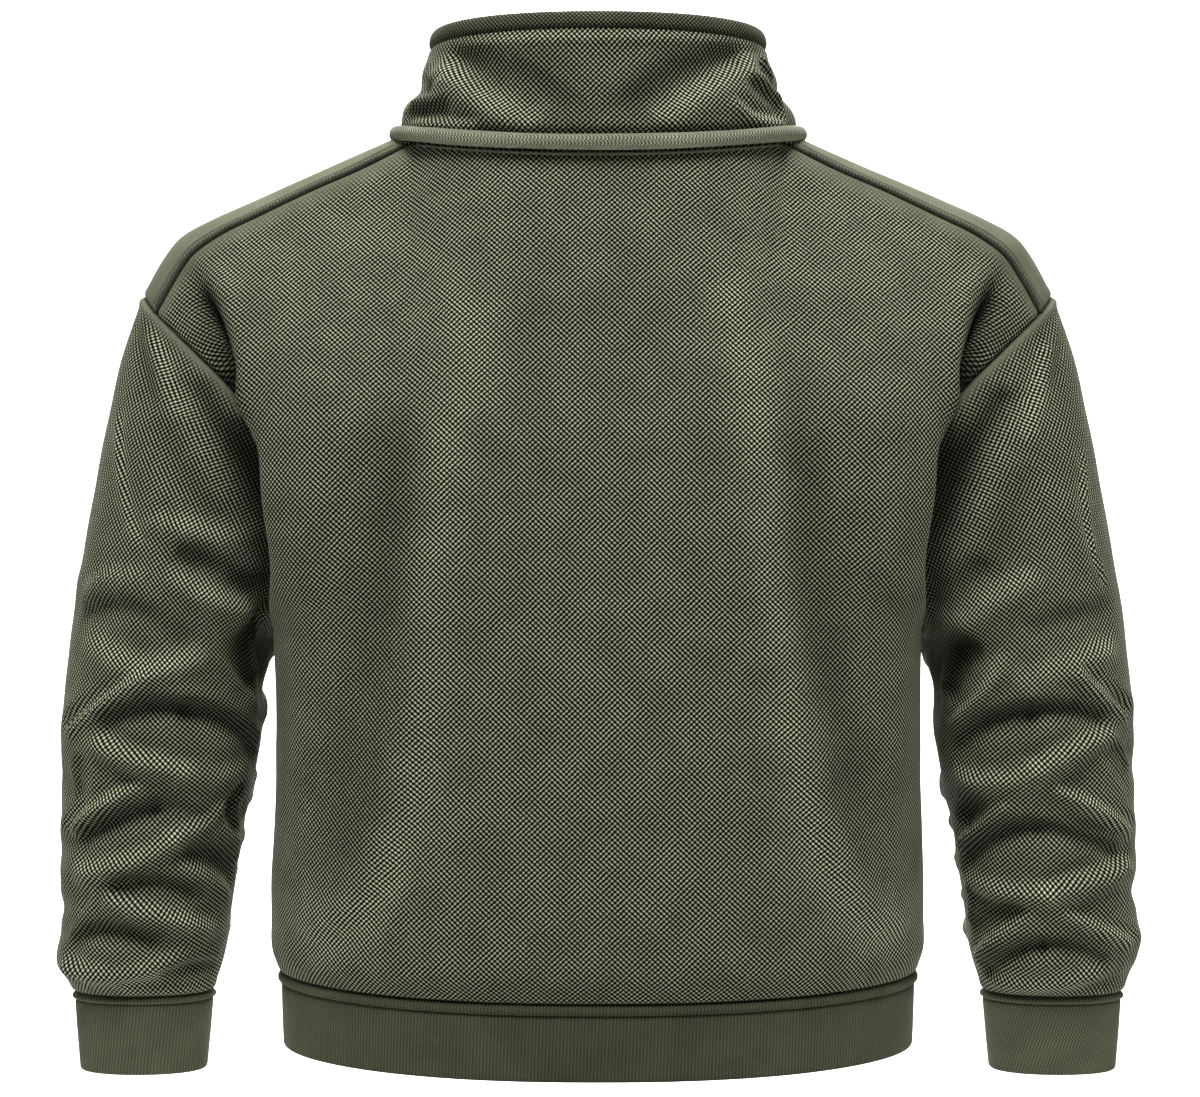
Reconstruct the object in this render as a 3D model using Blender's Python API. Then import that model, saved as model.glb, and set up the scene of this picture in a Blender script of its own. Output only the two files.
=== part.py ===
"""Sweatshirt with a high funnel collar, in its worn shape, as separate cut-and-sewn pieces.

Metres, +Z up. +X is the wearer's left and +Y is the back of the garment. The origin is the
centre of the neck, level with the tops of the shoulders.

Every cloth piece is a grid of points: rows run up the piece and columns run across or
around it. The outer face is that grid with its folds, and the inner face lies one wall
thickness behind it. Pieces that meet share the points of their seam, and each one then
draws back by half the seam gap.
"""

import math

import bmesh
import bpy
import numpy as np

# ---- Cloth -------------------------------------------------------------------------------
BODY_WALL = 0.0022          # piqué knit of the body, the sleeves and the collar
RIB_WALL = 0.0026           # rib knit of the cuffs and the hem band
SEAM_GAP = 0.0004

# ---- Number of cells in each stretch of a piece ------------------------------------------
NECK_CELLS_BACK = 7         # from the centre back to the neck end of the shoulder seam
NECK_CELLS_FRONT = 10       # from the centre front to the same point
SHOULDER_CELLS = 7
SIDE_CELLS = 7              # up the side seam
ARMHOLE_CELLS_BACK = 9
ARMHOLE_CELLS_FRONT = 12
SLEEVE_CELLS = 32
COLLAR_CELLS = 8

# ---- Torso -------------------------------------------------------------------------------
# Level rows up the side seam, from the hem seam to the underarm.
# height at the side, half width, depth at the centre back, depth at the centre front,
# drop of the row towards the centre back, roundness (2 is an ellipse)
SIDE_ROWS = (
    (-0.606, 0.2315, 0.1245, 0.1200, 0.006, 2.20),
    (-0.592, 0.2375, 0.1340, 0.1290, 0.006, 2.25),
    (-0.565, 0.2385, 0.1385, 0.1350, 0.005, 2.30),
    (-0.500, 0.2355, 0.1410, 0.1390, 0.003, 2.45),
    (-0.430, 0.2335, 0.1410, 0.1420, 0.001, 2.65),
    (-0.355, 0.2345, 0.1395, 0.1450, 0.000, 2.90),
)
# Rows that end on the armhole, behind and in front. There the cloth stands out in a fold
# and turns back inward to the armhole seam.
# angle round the armhole, height at the centre, depth at the centre, roundness,
# half width of the standing fold
BACK_ROWS = (
    (130.0, -0.302, 0.1370, 2.90, 0.2395),
    (102.0, -0.248, 0.1330, 2.90, 0.2440),
    (76.0, -0.192, 0.1270, 2.80, 0.2500),
)
FRONT_ROWS = (
    (130.0, -0.302, 0.1470, 2.90, 0.2370),
    (102.0, -0.250, 0.1470, 2.90, 0.2400),
    (76.0, -0.200, 0.1420, 2.80, 0.2480),
)
FOLD_TURN = 64.0            # degrees of the quarter row where the standing fold turns back

# ---- Armhole: a tilted loop, drawn in towards the chest behind and in front ----------------
# The angle runs from 0 at the shoulder tip to 180 at the underarm, behind or in front.
ARMHOLE_CENTRE_WIDTH = 0.2845
ARMHOLE_CENTRE_HEIGHT = -0.234
ARMHOLE_LEAN = 0.0485       # sideways reach of its long axis
ARMHOLE_RISE = 0.1215       # upward reach of its long axis
ARMHOLE_DEPTH = 0.062
ARMHOLE_DRAW = 0.056
ARMHOLE_STEP = 0.00172      # length of seam for each degree
SEAM_ANGLE = 30.0           # where the shoulder seam meets the armhole, behind the shoulder

# ---- Shoulders: half width, depth, height ------------------------------------------------
SHOULDER_SEAM = (
    (0.1335, 0.0340, -0.0050),
    (0.1674, 0.0360, -0.0222),
    (0.2042, 0.0365, -0.0385),
    (0.2410, 0.0365, -0.0560),
    (0.2742, 0.0360, -0.0750),
    (0.2886, 0.0350, -0.0870),
    (0.3003, 0.0335, -0.1030),
)
SHOULDER_RIDGE = (
    (0.1620, 0.0020, -0.0090),
    (0.1830, 0.0020, -0.0165),
    (0.2180, 0.0020, -0.0306),
    (0.2530, 0.0020, -0.0448),
    (0.2850, 0.0020, -0.0585),
    (0.3080, 0.0020, -0.0715),
    (0.3190, 0.0015, -0.0855),
    (0.3270, 0.0010, -0.0995),
)
WELT_WIDTH = 0.0075         # topstitched strip of the front along the shoulder seam
WELT_EDGE = 0.0010
WELT_LIFT = 0.0014

# ---- Neck ring, along the middle of the roll ----------------------------------------------
NECK_HALF_WIDTH = 0.1480
NECK_DEPTH_BACK = 0.0935
NECK_DEPTH_FRONT = 0.1060
NECK_HEIGHT_SIDE = 0.0056
NECK_DROP_BACK = 0.0193
NECK_DROP_FRONT = 0.0520
NECK_CORNER = 67.5          # degrees from the centre back to the shoulder seam
ROLL_HALF_HEIGHT = 0.0056
ROLL_HALF_WIDTH = 0.0054
ROLL_SIDES = 6
NECK_SEAM_INSET = 0.0075    # the seam of body and collar lies inside the middle of the roll
NECK_SEAM_DROP = 0.0006     # and below it, more at the sides, where the shoulders slope away
NECK_SEAM_DROP_SIDE = 0.0056
YOKE_SPREAD = 0.13          # how far the ridge row spreads from the neck, as a share of its size
YOKE_DROP_SIDE = 0.0078
YOKE_DROP_FRONT = 0.034
YOKE_ANGLE = 88.0           # where the ridge row leaves the neck for the shoulder

# ---- Collar ------------------------------------------------------------------------------
COLLAR_SPRING = 0.30        # share of its height over which it comes out from behind the roll
# share of the way up, half width, depth behind, depth in front
COLLAR_ROWS = (
    (0.00, 0.1452, 0.0907, 0.1032),
    (0.12, 0.1450, 0.0915, 0.1032),
    (0.30, 0.1422, 0.0918, 0.1025),
    (0.50, 0.1350, 0.0906, 0.1004),
    (0.70, 0.1290, 0.0900, 0.0975),
    (0.88, 0.1252, 0.0900, 0.0950),
    (1.00, 0.1222, 0.0898, 0.0930),
)
COLLAR_TOP_SIDE = 0.0675    # height of the seam below the edge band
COLLAR_TOP_BACK = 0.0675
COLLAR_TOP_FRONT = 0.0460
COLLAR_ROUNDNESS = 2.20
# Edge band: distance above its seam, outward step of the outer face
BAND_PROFILE = (
    (0.0000, 0.0000),
    (0.0012, 0.0012),
    (0.0060, 0.0010),
    (0.0100, -0.0002),
    (0.0115, -0.0016),
)
BAND_WALL = 0.0030

# ---- Hem band and cuffs: distance below the seam, outward step of the outer face -----------
HEM_PROFILE = (
    (0.0000, 0.0000),
    (0.0016, 0.0026),
    (0.0060, 0.0027),
    (0.0076, 0.0002),
    (0.0300, 0.0004),
    (0.0535, 0.0000),
)
CUFF_PROFILE = (
    (0.0000, 0.0000),
    (0.0013, 0.0020),
    (0.0042, 0.0020),
    (0.0055, 0.0002),
    (0.0300, 0.0004),
    (0.0585, 0.0000),
)
HEM_BOTTOM_TAPER = 0.9930
CUFF_BOTTOM_TAPER = 0.9100
CUFF_SLANT = 0.0010         # the cuff's lower end moves outward and forward
CUFF_FORWARD = 0.0035

# ---- Sleeves: rings down the arm ---------------------------------------------------------
# outer point: half width, height; inner point: half width, height; depth of the middle,
# half depth, how far the ring is drawn in behind and in front
SLEEVE_RINGS = (
    (0.3495, -0.158, 0.2425, -0.3640, 0.000, 0.0640, 0.030),
    (0.3640, -0.225, 0.2425, -0.3800, -0.003, 0.0670, 0.010),
    (0.3775, -0.298, 0.2460, -0.3980, -0.006, 0.0670, 0.000),
    (0.3880, -0.362, 0.2490, -0.4200, -0.008, 0.0645, 0.000),
    (0.3940, -0.418, 0.2500, -0.4420, -0.011, 0.0620, 0.000),
    (0.3960, -0.472, 0.2575, -0.4780, -0.015, 0.0585, 0.000),
    (0.3975, -0.520, 0.2660, -0.5200, -0.019, 0.0560, 0.000),
    (0.3995, -0.565, 0.2730, -0.5650, -0.024, 0.0535, 0.000),
    (0.4000, -0.602, 0.2790, -0.6020, -0.027, 0.0510, 0.000),
    (0.3895, -0.627, 0.2870, -0.6270, -0.029, 0.0360, 0.000),
)
SLEEVE_ROUNDNESS = 2.15
ELBOW_SHARE = 0.36          # share of the sleeve's length above the folded forearm
ELBOW_CELLS = 8             # cells in that share

# ---- Folds -------------------------------------------------------------------------------
# A fold is a soft ridge (lift above 0) or trough (below 0) along a bent line through three
# places. On a sleeve a place is the angle round it (0 outer side, 90 behind, 180 beside
# the body, 270 in front) and the height.
# start angle, height, middle angle, height, end angle, height, half width, lift
LEFT_SLEEVE_FOLDS = (
    (75, -0.130, 100, -0.195, 140, -0.262, 0.011, -0.0110),
    (92, -0.195, 112, -0.232, 148, -0.280, 0.010, 0.0040),
    (50, -0.190, 62, -0.250, 80, -0.315, 0.012, 0.0030),
    (72, -0.272, 100, -0.283, 140, -0.288, 0.010, 0.0050),
    (86, -0.296, 115, -0.303, 155, -0.322, 0.010, -0.0070),
    (90, -0.309, 112, -0.329, 148, -0.342, 0.011, 0.0045),
    (10, -0.345, 45, -0.340, 82, -0.328, 0.013, -0.0045),
    (5, -0.325, 40, -0.318, 76, -0.314, 0.010, 0.0030),
    (128, -0.366, 158, -0.372, 172, -0.400, 0.013, -0.0120),
    (15, -0.430, 62, -0.402, 118, -0.374, 0.010, 0.0080),
    (130, -0.384, 152, -0.403, 175, -0.420, 0.008, 0.0050),
    (45, -0.426, 95, -0.410, 165, -0.442, 0.010, -0.0085),
    (40, -0.433, 90, -0.451, 150, -0.461, 0.010, 0.0075),
    (10, -0.462, 35, -0.468, 45, -0.480, 0.009, -0.0060),
    (15, -0.506, 52, -0.487, 90, -0.462, 0.009, 0.0080),
    (20, -0.520, 75, -0.492, 124, -0.480, 0.010, -0.0085),
    (140, -0.487, 160, -0.490, 175, -0.500, 0.010, -0.0070),
    (20, -0.532, 85, -0.518, 138, -0.482, 0.010, 0.0085),
    (140, -0.498, 156, -0.509, 178, -0.515, 0.008, 0.0045),
    (108, -0.517, 140, -0.518, 168, -0.536, 0.009, -0.0065),
    (70, -0.537, 105, -0.538, 140, -0.555, 0.009, -0.0060),
    (60, -0.547, 100, -0.561, 150, -0.578, 0.010, 0.0075),
    (-15, -0.560, 15, -0.563, 45, -0.552, 0.009, -0.0060),
    (-10, -0.588, 55, -0.574, 118, -0.584, 0.010, -0.0075),
    (-10, -0.600, 60, -0.604, 135, -0.586, 0.009, 0.0065),
    (100, -0.606, 130, -0.602, 165, -0.607, 0.008, -0.0050),
    (200, -0.300, 240, -0.285, 285, -0.278, 0.012, 0.0060),
    (195, -0.330, 240, -0.310, 280, -0.300, 0.012, -0.0075),
    (195, -0.372, 235, -0.345, 300, -0.330, 0.011, 0.0070),
    (190, -0.402, 240, -0.378, 310, -0.362, 0.011, -0.0080),
    (185, -0.422, 245, -0.408, 325, -0.424, 0.011, 0.0080),
    (200, -0.452, 255, -0.432, 335, -0.448, 0.010, -0.0080),
    (195, -0.470, 250, -0.470, 330, -0.500, 0.010, 0.0075),
    (190, -0.505, 245, -0.494, 325, -0.520, 0.010, -0.0080),
    (190, -0.520, 250, -0.530, 330, -0.536, 0.010, 0.0080),
    (200, -0.556, 255, -0.548, 325, -0.562, 0.010, -0.0075),
    (195, -0.580, 250, -0.572, 330, -0.588, 0.010, 0.0070),
    (200, -0.602, 255, -0.594, 320, -0.606, 0.008, -0.0050),
)
RIGHT_SLEEVE_FOLDS = (
    (78, -0.140, 105, -0.195, 142, -0.262, 0.011, -0.0110),
    (97, -0.200, 116, -0.245, 140, -0.290, 0.010, 0.0045),
    (75, -0.165, 80, -0.195, 90, -0.225, 0.010, 0.0030),
    (53, -0.235, 54, -0.290, 40, -0.325, 0.012, 0.0030),
    (110, -0.268, 125, -0.305, 150, -0.330, 0.013, -0.0055),
    (80, -0.308, 104, -0.330, 142, -0.354, 0.012, 0.0055),
    (30, -0.340, 60, -0.345, 88, -0.350, 0.014, -0.0045),
    (30, -0.362, 72, -0.378, 108, -0.384, 0.010, 0.0055),
    (120, -0.371, 150, -0.374, 170, -0.405, 0.014, -0.0120),
    (63, -0.388, 42, -0.402, 10, -0.416, 0.008, 0.0060),
    (160, -0.422, 130, -0.402, 108, -0.376, 0.009, 0.0060),
    (160, -0.444, 98, -0.413, 30, -0.418, 0.010, -0.0090),
    (155, -0.457, 108, -0.459, 45, -0.423, 0.010, 0.0085),
    (40, -0.440, 25, -0.450, 0, -0.462, 0.009, -0.0060),
    (86, -0.471, 58, -0.483, 10, -0.506, 0.009, 0.0080),
    (172, -0.486, 150, -0.490, 128, -0.494, 0.010, -0.0075),
    (168, -0.514, 132, -0.490, 106, -0.474, 0.008, 0.0050),
    (155, -0.524, 93, -0.496, 25, -0.520, 0.010, -0.0085),
    (165, -0.530, 98, -0.546, 5, -0.526, 0.010, 0.0085),
    (160, -0.550, 135, -0.556, 112, -0.556, 0.009, -0.0060),
    (35, -0.548, 10, -0.552, -20, -0.556, 0.009, -0.0055),
    (158, -0.597, 128, -0.580, 100, -0.562, 0.009, 0.0070),
    (84, -0.558, 52, -0.574, 0, -0.590, 0.009, 0.0070),
    (150, -0.606, 97, -0.583, 40, -0.596, 0.009, -0.0075),
    (150, -0.612, 100, -0.608, 45, -0.598, 0.009, 0.0060),
    (70, -0.612, 45, -0.614, 0, -0.612, 0.007, -0.0045),
    (205, -0.292, 245, -0.280, 290, -0.284, 0.012, 0.0060),
    (195, -0.325, 240, -0.312, 285, -0.296, 0.012, -0.0075),
    (190, -0.365, 240, -0.350, 300, -0.326, 0.011, 0.0070),
    (190, -0.398, 245, -0.384, 315, -0.360, 0.011, -0.0080),
    (188, -0.428, 245, -0.414, 330, -0.414, 0.011, 0.0080),
    (195, -0.448, 255, -0.440, 335, -0.440, 0.010, -0.0080),
    (190, -0.478, 250, -0.474, 335, -0.494, 0.010, 0.0075),
    (195, -0.500, 250, -0.500, 330, -0.516, 0.010, -0.0080),
    (185, -0.530, 250, -0.526, 335, -0.540, 0.010, 0.0080),
    (195, -0.552, 255, -0.552, 330, -0.566, 0.010, -0.0075),
    (195, -0.584, 250, -0.576, 330, -0.584, 0.010, 0.0070),
    (200, -0.604, 255, -0.598, 320, -0.602, 0.008, -0.0050),
)
# On a body panel a place is the distance across from the middle and the height, in metres.
# start across, height, middle across, height, end across, height, half width, lift
BACK_FOLDS = (
    (0.284, -0.100, 0.266, -0.140, 0.252, -0.200, 0.013, -0.0190),
    (0.268, -0.088, 0.243, -0.150, 0.236, -0.250, 0.012, 0.0050),
    (0.090, -0.090, 0.108, -0.330, 0.195, -0.560, 0.028, 0.0050),
    (0.135, -0.090, 0.150, -0.350, 0.212, -0.520, 0.024, -0.0050),
    (0.200, -0.140, 0.204, -0.320, 0.222, -0.440, 0.020, 0.0030),
)
FRONT_FOLDS = (
    (0.278, -0.110, 0.262, -0.150, 0.250, -0.210, 0.014, -0.0140),
    (0.085, -0.130, 0.102, -0.350, 0.180, -0.550, 0.028, 0.0050),
    (0.128, -0.130, 0.145, -0.370, 0.205, -0.530, 0.024, -0.0050),
    (0.196, -0.150, 0.198, -0.330, 0.216, -0.450, 0.020, 0.0030),
)
# On the collar a place is the angle from the centre back (the wearer's left is above 0)
# and the share of the way up.
# start angle, share, middle angle, share, end angle, share, half width, lift
COLLAR_FOLDS = (
    (58, 0.86, 42, 0.70, 22, 0.36, 0.010, -0.0050),
    (66, 0.78, 48, 0.48, 34, 0.20, 0.009, 0.0045),
    (100, 0.78, 86, 0.76, 74, 0.66, 0.008, 0.0022),
    (104, 0.60, 84, 0.56, 66, 0.40, 0.007, -0.0052),
    (104, 0.40, 84, 0.36, 66, 0.24, 0.008, 0.0030),
    (-60, 0.86, -42, 0.72, -20, 0.40, 0.010, -0.0050),
    (-68, 0.76, -50, 0.46, -36, 0.20, 0.009, 0.0045),
    (-100, 0.72, -86, 0.70, -74, 0.62, 0.008, 0.0025),
    (-104, 0.42, -84, 0.50, -68, 0.60, 0.007, -0.0055),
    (-104, 0.20, -84, 0.24, -68, 0.34, 0.008, 0.0025),
    (128, 0.84, 146, 0.64, 166, 0.34, 0.011, -0.0045),
    (118, 0.74, 138, 0.44, 150, 0.20, 0.010, 0.0040),
    (-126, 0.82, -144, 0.60, -164, 0.36, 0.011, -0.0045),
    (-116, 0.72, -136, 0.46, -150, 0.22, 0.010, 0.0040),
)
FOLD_STEPS = 14             # straight steps that stand for a fold's bent line
SEAM_FADE = 0.011           # folds die away over this distance from a seam

# ---- Colours: red, green, blue, roughness -------------------------------------------------
BODY_COLOUR = (0.098, 0.105, 0.066, 0.92)
RIB_COLOUR = (0.072, 0.078, 0.048, 0.90)
COLLAR_COLOUR = (0.088, 0.095, 0.060, 0.92)
ROLL_COLOUR = (0.110, 0.118, 0.076, 0.90)


# ---- Curves ------------------------------------------------------------------------------
def smooth_through(stations, shapes, at):
    """A smooth curve through one shape for each station, read at other stations."""
    stations = np.asarray(stations, dtype=float)
    shapes = np.asarray(shapes, dtype=float)
    at = np.asarray(at, dtype=float)
    slopes = np.gradient(shapes, stations, axis=0, edge_order=2)
    first = np.clip(np.searchsorted(stations, at, side="right") - 1, 0, len(stations) - 2)
    step = stations[first + 1] - stations[first]
    spread = (-1,) + (1,) * (shapes.ndim - 1)
    t = ((at - stations[first]) / step).reshape(spread)
    step = step.reshape(spread)
    start = (2 * t**3 - 3 * t**2 + 1) * shapes[first] + (t**3 - 2 * t**2 + t) * step * slopes[first]
    end = (3 * t**2 - 2 * t**3) * shapes[first + 1] + (t**3 - t**2) * step * slopes[first + 1]
    return start + end


def lengths_along(curve):
    """The distance from the first point of a curve to each of its points."""
    steps = np.linalg.norm(np.diff(curve, axis=0), axis=1)
    return np.concatenate([[0.0], np.cumsum(steps)])


def evenly(curve, cells):
    """The curve cut into cells of equal length."""
    lengths = lengths_along(curve)
    marks = np.linspace(0.0, lengths[-1], cells + 1)
    return np.column_stack([np.interp(marks, lengths, curve[:, k]) for k in range(3)])


def finely(points):
    """A smooth curve with many points through a few."""
    points = np.asarray(points, dtype=float)
    lengths = lengths_along(points)
    return smooth_through(lengths, points, np.linspace(0.0, lengths[-1], 121))


def soft_step(value):
    """0 below 0, 1 above 1, and a smooth rise between."""
    value = np.clip(value, 0.0, 1.0)
    return value * value * (3.0 - 2.0 * value)


# ---- Guide lines of the garment ------------------------------------------------------------
def armhole(angle):
    """A point of the left armhole seam. The angle is above 0 behind and below 0 in front."""
    turn = math.radians(angle)
    width = ARMHOLE_CENTRE_WIDTH + ARMHOLE_LEAN * math.cos(turn) - ARMHOLE_DRAW * math.sin(turn) ** 2
    depth = ARMHOLE_DEPTH * math.sin(turn)
    height = ARMHOLE_CENTRE_HEIGHT + ARMHOLE_RISE * math.cos(turn)
    return np.array([width, depth, height])


def oval(angle, half_width, depth_back, depth_front, roundness):
    """A level oval point at an angle from the centre back, the wearer's left above 0."""
    turn = math.radians(angle)
    across = math.sin(turn)
    along = math.cos(turn)
    size = (abs(across) ** roundness + abs(along) ** roundness) ** (-1.0 / roundness)
    depth = depth_back if along > 0 else depth_front
    return np.array([half_width * across * size, depth * along * size])


def neck_middle(angle):
    """The middle of the neck roll."""
    across, depth = oval(angle, NECK_HALF_WIDTH, NECK_DEPTH_BACK, NECK_DEPTH_FRONT, 2.15)
    if depth > 0:
        height = NECK_HEIGHT_SIDE - NECK_DROP_BACK * (depth / NECK_DEPTH_BACK) ** 1.6
    else:
        height = NECK_HEIGHT_SIDE - NECK_DROP_FRONT * (-depth / NECK_DEPTH_FRONT) ** 1.6
    return np.array([across, depth, height])


def neck_outward(angle):
    """The level direction that points out of the neck."""
    before = neck_middle(angle - 1.0)
    after = neck_middle(angle + 1.0)
    out = np.array([-(after[1] - before[1]), after[0] - before[0], 0.0])
    return out / np.linalg.norm(out)


def neck_seam(angle):
    """The seam of the body and the collar, behind the neck roll."""
    sideways = abs(neck_middle(angle)[0]) / NECK_HALF_WIDTH
    drop = NECK_SEAM_DROP + (NECK_SEAM_DROP_SIDE - NECK_SEAM_DROP) * sideways**4
    return neck_middle(angle) - NECK_SEAM_INSET * neck_outward(angle) - np.array([0.0, 0.0, drop])


def neck_angles(first, last, cells):
    """Angles that cut the neck seam between two angles into equal cells."""
    angles = np.linspace(first, last, 121)
    lengths = lengths_along(np.array([neck_seam(angle) for angle in angles]))
    return np.interp(np.linspace(0.0, lengths[-1], cells + 1), lengths, angles)


def neck_stretch(first, last, cells):
    """The neck seam between two angles."""
    return np.array([neck_seam(angle) for angle in neck_angles(first, last, cells)])


def shoulder_seam():
    """The seam from the neck to the armhole, behind the shoulder."""
    start = [neck_seam(NECK_CORNER)]
    return evenly(finely(start + list(SHOULDER_SEAM[1:]) + [armhole(SEAM_ANGLE)]), SHOULDER_CELLS)


# ---- Body panels -------------------------------------------------------------------------
def level_row(edge, depth, height, roundness, cells, fold_width=None):
    """Half a row of a panel, from its middle to its edge point."""
    turn = np.linspace(0.0, math.pi / 2, 181)
    share = np.sin(turn) ** (2.0 / roundness)
    width = edge[0] if fold_width is None else fold_width
    back_in = soft_step((np.degrees(turn) - FOLD_TURN) / (90.0 - FOLD_TURN))
    across = width * share - (width - edge[0]) * back_in
    depths = edge[1] + (depth - edge[1]) * np.cos(turn).clip(0.0) ** (2.0 / roundness)
    heights = height + (edge[2] - height) * share**2.5
    return evenly(np.column_stack([across, depths, heights]), cells)


def panel_keys(side, cells):
    """The stations and half rows that a body panel passes through. Side is 1 behind."""
    stations = []
    rows = []
    underarm = SIDE_ROWS[-1][0]
    for height, half_width, depth_back, depth_front, drop, roundness in SIDE_ROWS:
        depth = depth_back if side > 0 else -depth_front
        middle = height - (drop if side > 0 else 0.0)
        edge = np.array([half_width, 0.0, height])
        stations.append(height - underarm)
        rows.append(level_row(edge, depth, middle, roundness, cells))
    table = BACK_ROWS if side > 0 else FRONT_ROWS
    for angle, height, depth, roundness, width in table:
        edge = armhole(side * angle)
        stations.append((180.0 - angle) * ARMHOLE_STEP)
        rows.append(level_row(edge, side * depth, height, roundness, cells, width))
    return stations, rows


def ridge_row():
    """Half a row of the front: round the neck below its edge, then along the shoulder ridge."""
    around = []
    for angle in neck_angles(180.0, YOKE_ANGLE, NECK_CELLS_FRONT):
        point = neck_seam(angle)
        forward = max(0.0, -point[1] / NECK_DEPTH_FRONT)
        drop = YOKE_DROP_SIDE + (YOKE_DROP_FRONT - YOKE_DROP_SIDE) * forward
        spread = 1.0 + YOKE_SPREAD
        around.append([point[0] * spread, point[1] * spread, point[2] - drop])
    ridge = finely([around[-1]] + list(SHOULDER_RIDGE[1:]) + [armhole(0.0)])
    return np.vstack([around, evenly(ridge, SHOULDER_CELLS)[1:]])


def panel_grid(keys, marks, angles):
    """A whole panel. Its edge follows the armhole at the marks that have an angle."""
    stations, rows = keys
    half = smooth_through(stations, rows, marks)
    cells = half.shape[1] - 1
    hold = (np.arange(cells + 1) / cells) ** 6
    for row, angle in enumerate(angles):
        if angle is not None:
            half[row] += np.outer(hold, armhole(angle) - half[row, -1])
    return half


def side_marks():
    """Stations from the hem seam to the underarm, closer where the body folds over the hem."""
    low = SIDE_ROWS[0][0] - SIDE_ROWS[-1][0]
    share = np.linspace(0.0, 1.0, SIDE_CELLS + 1) ** 1.5
    return list(low * (1.0 - share))


def back_panel():
    """The back, from the wearer's right to the left, hem to neck and shoulder seams."""
    cells = NECK_CELLS_BACK + SHOULDER_CELLS
    stations, rows = panel_keys(1, cells)
    top = np.vstack([neck_stretch(0.0, NECK_CORNER, NECK_CELLS_BACK), shoulder_seam()[1:]])
    stations.append((180.0 - SEAM_ANGLE) * ARMHOLE_STEP)
    rows.append(top)
    angles = np.linspace(180.0, SEAM_ANGLE, ARMHOLE_CELLS_BACK + 1)[1:]
    marks = side_marks() + [(180.0 - angle) * ARMHOLE_STEP for angle in angles]
    half = panel_grid((stations, rows), marks, [None] * (SIDE_CELLS + 1) + list(angles))
    half[-1] = top
    mirrored = half[:, :0:-1] * np.array([-1.0, 1.0, 1.0])
    return np.concatenate([mirrored, half], axis=1)


def front_panel(back):
    """The front, from the wearer's left to the right, up to the seams behind the shoulders."""
    cells = NECK_CELLS_FRONT + SHOULDER_CELLS
    stations, rows = panel_keys(-1, cells)
    seam = shoulder_seam()
    top = np.vstack([neck_stretch(180.0, NECK_CORNER, NECK_CELLS_FRONT), seam[1:]])
    stations.append(180.0 * ARMHOLE_STEP)
    rows.append(ridge_row())
    stations.append((180.0 + SEAM_ANGLE) * ARMHOLE_STEP)
    rows.append(top)
    angles = np.linspace(-180.0, SEAM_ANGLE, ARMHOLE_CELLS_FRONT + 1)[1:]
    marks = side_marks() + [(180.0 + angle) * ARMHOLE_STEP for angle in angles]
    half = panel_grid((stations, rows), marks, [None] * (SIDE_CELLS + 1) + list(angles))
    half[-1] = top
    half[: SIDE_CELLS + 1, -1] = back[: SIDE_CELLS + 1, -1]
    mirrored = half[:, 1:] * np.array([-1.0, 1.0, 1.0])
    return np.concatenate([half[:, ::-1], mirrored], axis=1)


# ---- Tubes -------------------------------------------------------------------------------
def sleeve_angles():
    """Angles round the sleeve, from the underarm up behind, over the shoulder and down in front."""
    behind = np.linspace(180.0, SEAM_ANGLE, ARMHOLE_CELLS_BACK + 1)
    before = np.linspace(SEAM_ANGLE, -180.0, ARMHOLE_CELLS_FRONT + 1)
    return np.concatenate([behind, before[1:-1]])


def sleeve_ring(row, angles):
    """One ring of the left sleeve from its outer and inner points."""
    outer_width, outer_height, inner_width, inner_height, middle, half_depth, draw = row
    turn = np.radians(angles)
    size = np.abs(np.cos(turn)) ** SLEEVE_ROUNDNESS + np.abs(np.sin(turn)) ** SLEEVE_ROUNDNESS
    size = size ** (-1.0 / SLEEVE_ROUNDNESS)
    along = np.cos(turn) * size
    widths = (outer_width + inner_width) / 2 + (outer_width - inner_width) / 2 * along
    widths = widths - draw * np.sin(turn) ** 2
    depths = middle + half_depth * np.sin(turn) * size
    heights = (outer_height + inner_height) / 2 + (outer_height - inner_height) / 2 * along
    return np.column_stack([widths, depths, heights])


def sleeve_tube():
    """The left sleeve from the armhole down to the cuff seam, with its base rings."""
    angles = sleeve_angles()
    rings = [np.array([armhole(angle) for angle in angles])]
    rings += [sleeve_ring(row, angles) for row in SLEEVE_RINGS]
    centres = np.array([ring.mean(axis=0) for ring in rings])
    stations = lengths_along(centres)
    upper = np.linspace(0.0, ELBOW_SHARE, ELBOW_CELLS + 1)
    lower = np.linspace(ELBOW_SHARE, 1.0, SLEEVE_CELLS - ELBOW_CELLS + 1)[1:]
    marks = np.concatenate([upper, lower]) * stations[-1]
    return smooth_through(stations, rings, marks)


def band_below(seam_ring, profile, taper, shift, vertical):
    """Rings that hang below a seam ring, and the outward steps of their outer face."""
    middle = seam_ring.mean(axis=0)
    length = profile[-1][0]
    rings = []
    steps = []
    for distance, step in profile:
        share = distance / length
        size = 1.0 + (taper - 1.0) * share
        ring = middle + (seam_ring - middle) * np.array([size, size, vertical])
        rings.append(ring + np.array(shift) * share - np.array([0.0, 0.0, distance]))
        steps.append(np.full(len(seam_ring), step))
    return np.array(rings[::-1]), np.array(steps[::-1])


def collar_height(angle, share):
    """The height of the collar at an angle from the centre back and a share of the way up."""
    bottom = neck_seam(angle)[2]
    along = math.cos(math.radians(angle))
    end = COLLAR_TOP_BACK if along > 0 else COLLAR_TOP_FRONT
    top = COLLAR_TOP_SIDE + (end - COLLAR_TOP_SIDE) * along * along
    return bottom + (top - bottom) * share


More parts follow.
